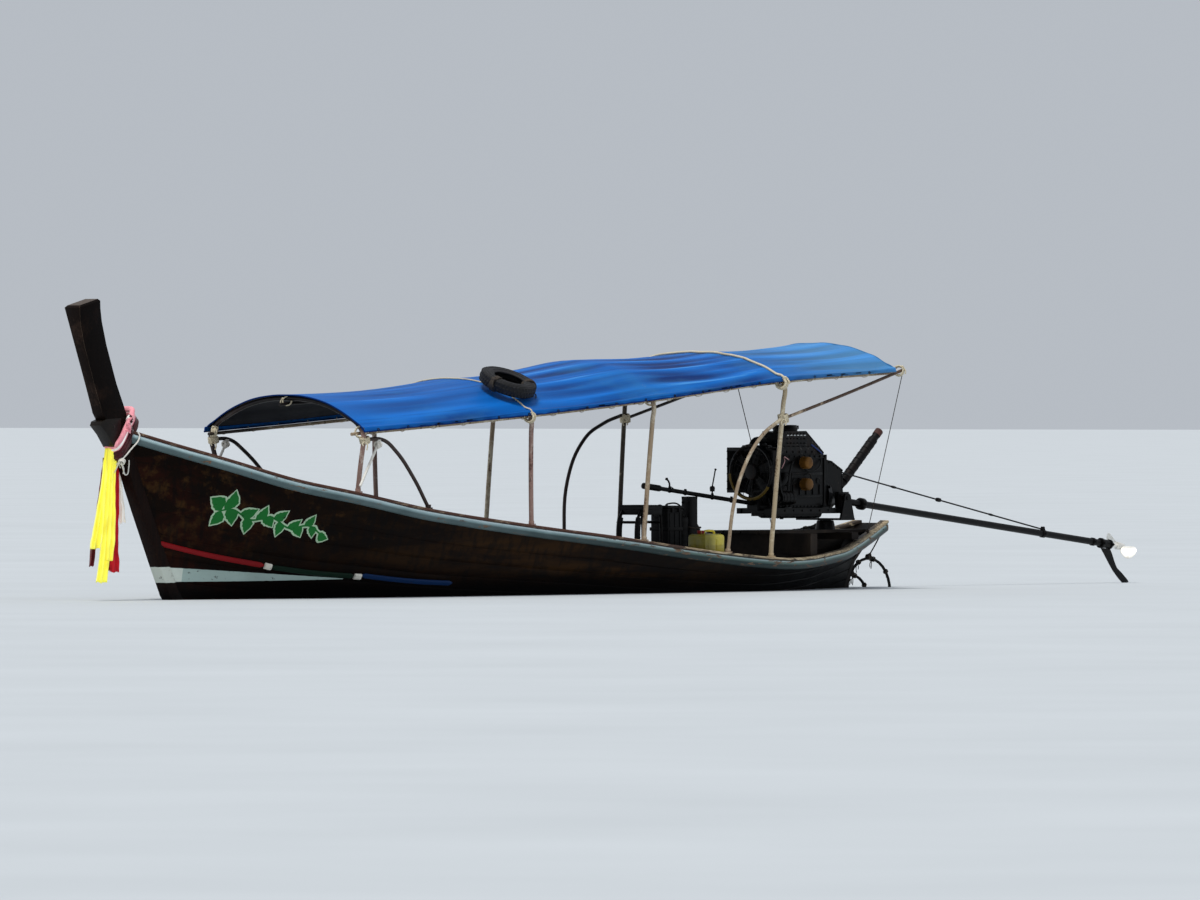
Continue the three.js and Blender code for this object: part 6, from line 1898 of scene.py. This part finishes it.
def buildTyre():
    bm = bmesh.new()
    low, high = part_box("tarp_tyre")
    centre = (Vector(low) + Vector(high)) / 2
    inner, outer = (archAt(tyre["x"], tyre["y"] + side * tyre["radius"]) for side in (-1, 1))
    slope = math.atan2(outer.z - inner.z, tyre["radius"] * 2)
    lean = Matrix.Rotation(slope, 3, "X")
    axis = lean @ Vector((0, 0, 1))
    rows = ((-0.043, 0.134), (-0.052, 0.15), (-0.055, 0.178), (-0.053, 0.212), (-0.044, 0.234),
            (-0.022, 0.243), (0.0, 0.2445), (0.022, 0.243), (0.044, 0.234), (0.053, 0.212), (0.055, 0.178),
            (0.052, 0.15), (0.043, 0.134), (0.036, 0.132), (0.034, 0.137), (0.044, 0.152), (0.048, 0.178),
            (0.045, 0.21), (0.034, 0.226), (0.0, 0.234), (-0.034, 0.226), (-0.045, 0.21), (-0.048, 0.178),
            (-0.044, 0.152), (-0.034, 0.137), (-0.036, 0.132), (-0.043, 0.134))
    drawTurned(bm, centre, axis, rows, sides=72)
    for radius, lift in ((0.198, 0.0548), (0.222, 0.05), (0.16, 0.0535)):
        for side in (1, -1):
            drawRing(bm, centre + axis * lift * side, axis, radius, 0.0022, around=72, sides=6)
    for k in range(tyre["blocks"]):
        for row, (height, reach, half) in enumerate(((0.03, 0.2425, 0.01), (0.0, 0.2465, 0.008),
                                                     (-0.03, 0.2425, 0.01))):
            turn = (k + 0.5 * (row % 2)) * 2 * pi / tyre["blocks"]
            place = Matrix.Translation(centre) @ lean.to_4x4() @ Matrix.Rotation(turn, 4, "Z")
            place = place @ Matrix.Translation((reach - 0.002, 0, height)) @ Matrix.Rotation(0.35 * (row - 1),
                                                                                             4, "X")
            made = bmesh.ops.create_cube(bm, size=1.0,
                                         matrix=place @ Matrix.Diagonal((0.009, 0.02, half * 2, 1)))
            softenEdges(bm, edgesOf(made["verts"]), 0.0018, 1)
    finishPiece("tyre_carcass", bm, "tyreRubber", slot="rubber", stands=["tarp_tyre"], crease=40)
    bm = bmesh.new()
    for turn, seed in ((0.15, 41), (2.6, 42)):
        out = lean @ Vector((math.cos(turn), math.sin(turn), 0))
        tangent = lean @ Vector((-math.sin(turn), math.cos(turn), 0))
        drawLashing(bm, centre + out * tyre["radius"], tangent, 0.058, 0.036, 4, 0.007, seed=seed)
    finishPiece("tyre_ties", bm, "ropeDark")


def buildSternRings():
    bm = bmesh.new()
    # Columns: top of the ring, point on the quarter that holds it.
    for top, hold in (((-4.915, 0.066, 0.271), (-4.905, 0.246, 0.52)),
                      ((-4.874, -0.1, 0.122), (-4.88, -0.22, 0.52))):
        top, hold = Vector(top), Vector(hold)
        drawLashing(bm, top, (1, 0, 0), 0.016, 0.03, 5, 0.006, seed=51)
        drawRod(bm, [top, top.lerp(hold, 0.5) + Vector((0, 0, -0.006)), hold], 0.006)
    finishPiece("stern_ring_ties", bm, "ropeDark")
    bm = bmesh.new()
    for centre, radius in (((-4.915, 0.066, -0.042), 0.3), ((-4.874, -0.1, -0.12), 0.23)):
        for k in range(9):
            turn = 0.4 + k * 2 * pi / 9
            at = Vector(centre) + Vector((math.cos(turn) * radius, 0, math.sin(turn) * radius))
            tangent = Vector((-math.sin(turn), 0, math.cos(turn)))
            drawLashing(bm, at, tangent, 0.0155, 0.02, 3, 0.0045, seed=k)
    finishPiece("stern_ring_wraps", bm, "ropeDark")


# Thin lines: stays from the canopy's after corners, a guy on the first hoop, and ties along the hems.
eyeletPlaces = [2.5 - k * 0.375 for k in range(18)]


def buildLines():
    bm = bmesh.new()
    # Columns: side, x and height of the stay's upper end, x of its lower end on the rail.
    for side, x, z, lowX in ((1, -4.396, 1.915, -4.62), (-1, -4.21, 1.9, -4.25)):
        half, top = railAt(lowX)
        high, low = Vector((x, side * 0.892, z)), Vector((lowX, side * (half - 0.01), top + 0.04))
        drawRod(bm, [high, high.lerp(low, 0.5) + Vector((0, 0, -0.004)), low], 0.0038, sides=6)
        drawLashing(bm, low, (0.3, side * 0.3, 1), 0.01, 0.02, 4, 0.0035, seed=60)
    for side in (1, -1):
        high, low = Vector((2.452, side * 0.866, 1.286)), Vector((2.672, side * 0.866, 0.94))
        drawRod(bm, [high, high.lerp(low, 0.5), low], 0.0115, sides=12, finish=2)
        drawLashing(bm, high, (1, 0, -0.4), 0.022, 0.04, 5, 0.007, finish=2, seed=61)
        for k, x in enumerate(eyeletPlaces):
            eave = smoothAt(archRows, x, 1)
            half = smoothAt(archRows, x, 3)
            hem = tarpPoint(x, side, -0.002)
            pole = Vector((x, side * (half - canopy["poleInboard"] + 0.008), eave - 0.026))
            sway = Vector((0.012 * math.sin(k * 2.1), 0, 0))
            drawRod(bm, [hem + Vector((0, 0, 0.01)), hem + sway + Vector((0, -side * 0.012, -0.014)),
                         pole + sway * 0.4 + Vector((0, side * 0.012, -0.018)),
                         pole + Vector((0, -side * 0.01, -0.014))],
                    0.003, sides=6, finish=1)
    finishPiece("canopy_lines", bm, ("ropeDark", "ropePale", "ropeWhite"))
    bm = bmesh.new()
    # Columns: x at the port eave, how far it slants forward by the crown, radius.
    for x, slant, radius in ((-2.7, 0.11, 0.011), (0.59, 0.0, 0.0065)):
        shares = [k / 30 * 2 - 1 for k in range(31)]
        line = [tarpPoint(x + slant * (1 - share) + 0.006 * math.sin(share * 9), share,
                          radius) for share in shares]
        drawRod(bm, line, radius, sides=8, fine=3)
        drawLashing(bm, line[-1] + Vector((0, -0.03, -0.02)), (1, 0.4, 0.2), 0.038, 0.06, 6, radius * 0.9,
                    seed=71)
    finishPiece("tarp_straps", bm, "ropePale")
    bm = bmesh.new()
    for side in (1, -1):
        for x in eyeletPlaces:
            at = tarpPoint(x, side * 0.985)
            drawRing(bm, at + Vector((0, side * 0.003, 0)), (0, 1, 0.15), 0.0105, 0.003, around=18, sides=6)
    finishPiece("tarp_eyelets", bm, "engineSteel")


def canFinish(name):
    f = Finish(name)
    x = f.axis("X")
    smear = f.cloud(9.0, 5.0, 0.6)
    fine = f.cloud(70.0, 3.0, 0.6)
    # The lower half, below 0.4 m, is mixed darker.
    lowerHalf = (f.axis("Z") + (smear - 0.5) * 0.02).over(0.41, 0.4)
    colour = f.mix(smear.over(0.35, 0.7), shade(240, 216, 50), shade(255, 244, 120))
    # Painted shade: towards its fore end the can is mixed to dark olive.
    colour = f.mix(x.over(-2.24, -2.12) * 0.9, colour, shade(132, 124, 34))
    colour = f.mix(lowerHalf * 0.35, colour, shade(140, 116, 26))
    colour = f.mix((smear * 0.5 + fine * 0.5).over(0.58, 0.66) * 0.5, colour, shade(96, 84, 40))
    return f.surface(Base_Color=colour, Roughness=0.3 + (fine - 0.5) * 0.2 + smear * 0.1, Coat_Weight=0.15,
                     Normal=f.bump(smear * 0.7 + fine * 0.3, 0.0014, 0.5))


def bladeFinish(name):
    f = Finish(name)
    smear = f.cloud(22.0, 5.0, 0.6)
    fine = f.cloud(160.0, 3.0, 0.6)
    colour = f.mix(smear.over(0.4, 0.7), shade(244, 243, 238), shade(206, 202, 192))
    colour = f.mix((smear * 0.4 + fine * 0.6).over(0.6, 0.68) * 0.6, colour, shade(120, 108, 88))
    return f.surface(Base_Color=colour, Roughness=0.26 + smear * 0.2, Metallic=0.35,
                     Normal=f.bump(fine * 0.5 + smear * 0.5, 0.0008, 0.5))


def tyreFinish(name):
    f = Finish(name)
    dust = f.cloud(6.0, 6.0, 0.65)
    fine = f.cloud(90.0, 3.0, 0.65)
    colour = f.mix(dust.over(0.48, 0.7) * 0.7, shade(9, 9, 11), shade(44, 42, 46))
    # Painted glints: fine specks mixed towards pale bluish grey.
    colour = f.mix(fine.over(0.6, 0.7) * 0.3, colour, shade(110, 112, 126))
    return f.surface(Base_Color=colour, Roughness=0.62 + (dust - 0.5) * 0.3, Specular_IOR_Level=0.35,
                     Normal=f.bump(fine * 0.6 + dust * 0.4, 0.0012, 0.6))


dress("tailBlack", "tail_tube", "skeg")
finishes["canShell"] = canFinish("canShell")
finishes["bladeBright"] = bladeFinish("bladeBright")
finishes["tyreRubber"] = tyreFinish("tyreRubber")
buildHelmBox()
buildStoolTrim()
buildNetBundle()
buildCrutch()
buildCan()
buildTiller()
buildPropeller()
buildTail()
buildTyre()
buildSternRings()
buildLines()
print("fittings in place")


# Floor at the waterline, open where the hull sits in it, and soft light from a high sun and the whole sky.
studio = {"floor": 600.0, "wellAft": -4.525, "wellFore": 3.9, "wellSteps": 70, "wellInside": -0.014,
          "floorTones": ((186, 192, 197), (194, 200, 205)), "sunAngle": 16.0, "sunPower": 2.5,
          "sunColour": (1.0, 0.97, 0.92), "sunFrom": (0.42, 0.12, 1.25), "sky": 0.62,
          "skyColour": (226, 233, 242)}


def setStudio():
    floor = bmesh.new()
    reach, steps = studio["floor"], studio["wellSteps"]
    rim = [(reach, reach), (-reach, reach), (-reach, -reach), (reach, -reach)]
    aft, fore = studio["wellAft"], studio["wellFore"]
    places = [aft + (fore - aft) * k / steps for k in range(steps + 1)]
    port = [(x, max(hullFace(x, 0.0, studio["wellInside"], 1).y, 0.004)) for x in places]
    for loop in (rim, port + [(x, -y) for x, y in reversed(port)]):
        verts = [floor.verts.new((x, y, 0)) for x, y in loop]
        for start, end in zip(verts, verts[1:] + verts[:1]):
            floor.edges.new((start, end))
    bmesh.ops.triangle_fill(floor, edges=floor.edges[:], use_beauty=False, normal=(0, 0, 1))
    mesh = bpy.data.meshes.new("floor")
    floor.to_mesh(mesh)
    floor.free()
    plane = bpy.data.objects.new("floor", mesh)
    bpy.context.scene.collection.objects.link(plane)
    f = Finish("floor")
    tone = f.cloud(0.4, 2.0).over(0.2, 0.8)
    colour = f.mix(tone, *(shade(*each) for each in studio["floorTones"]))
    plane.data.materials.append(f.surface(Base_Color=colour, Roughness=0.8))

    sun = bpy.data.lights.new("sun", "SUN")
    sun.angle = math.radians(studio["sunAngle"])
    sun.energy = studio["sunPower"]
    sun.color = studio["sunColour"]
    lamp = bpy.data.objects.new("sun", sun)
    lamp.rotation_euler = (-Vector(studio["sunFrom"])).to_track_quat("-Z", "Y").to_euler()
    bpy.context.scene.collection.objects.link(lamp)

    world = bpy.data.worlds.new("sky")
    world.use_nodes = True
    glow = world.node_tree.nodes["Background"].inputs
    glow[0].default_value = (*shade(*studio["skyColour"]), 1.0)
    glow[1].default_value = studio["sky"]
    bpy.context.scene.world = world


bpy.context.scene.view_settings.view_transform = "Standard"
setStudio()
print("studio lit")
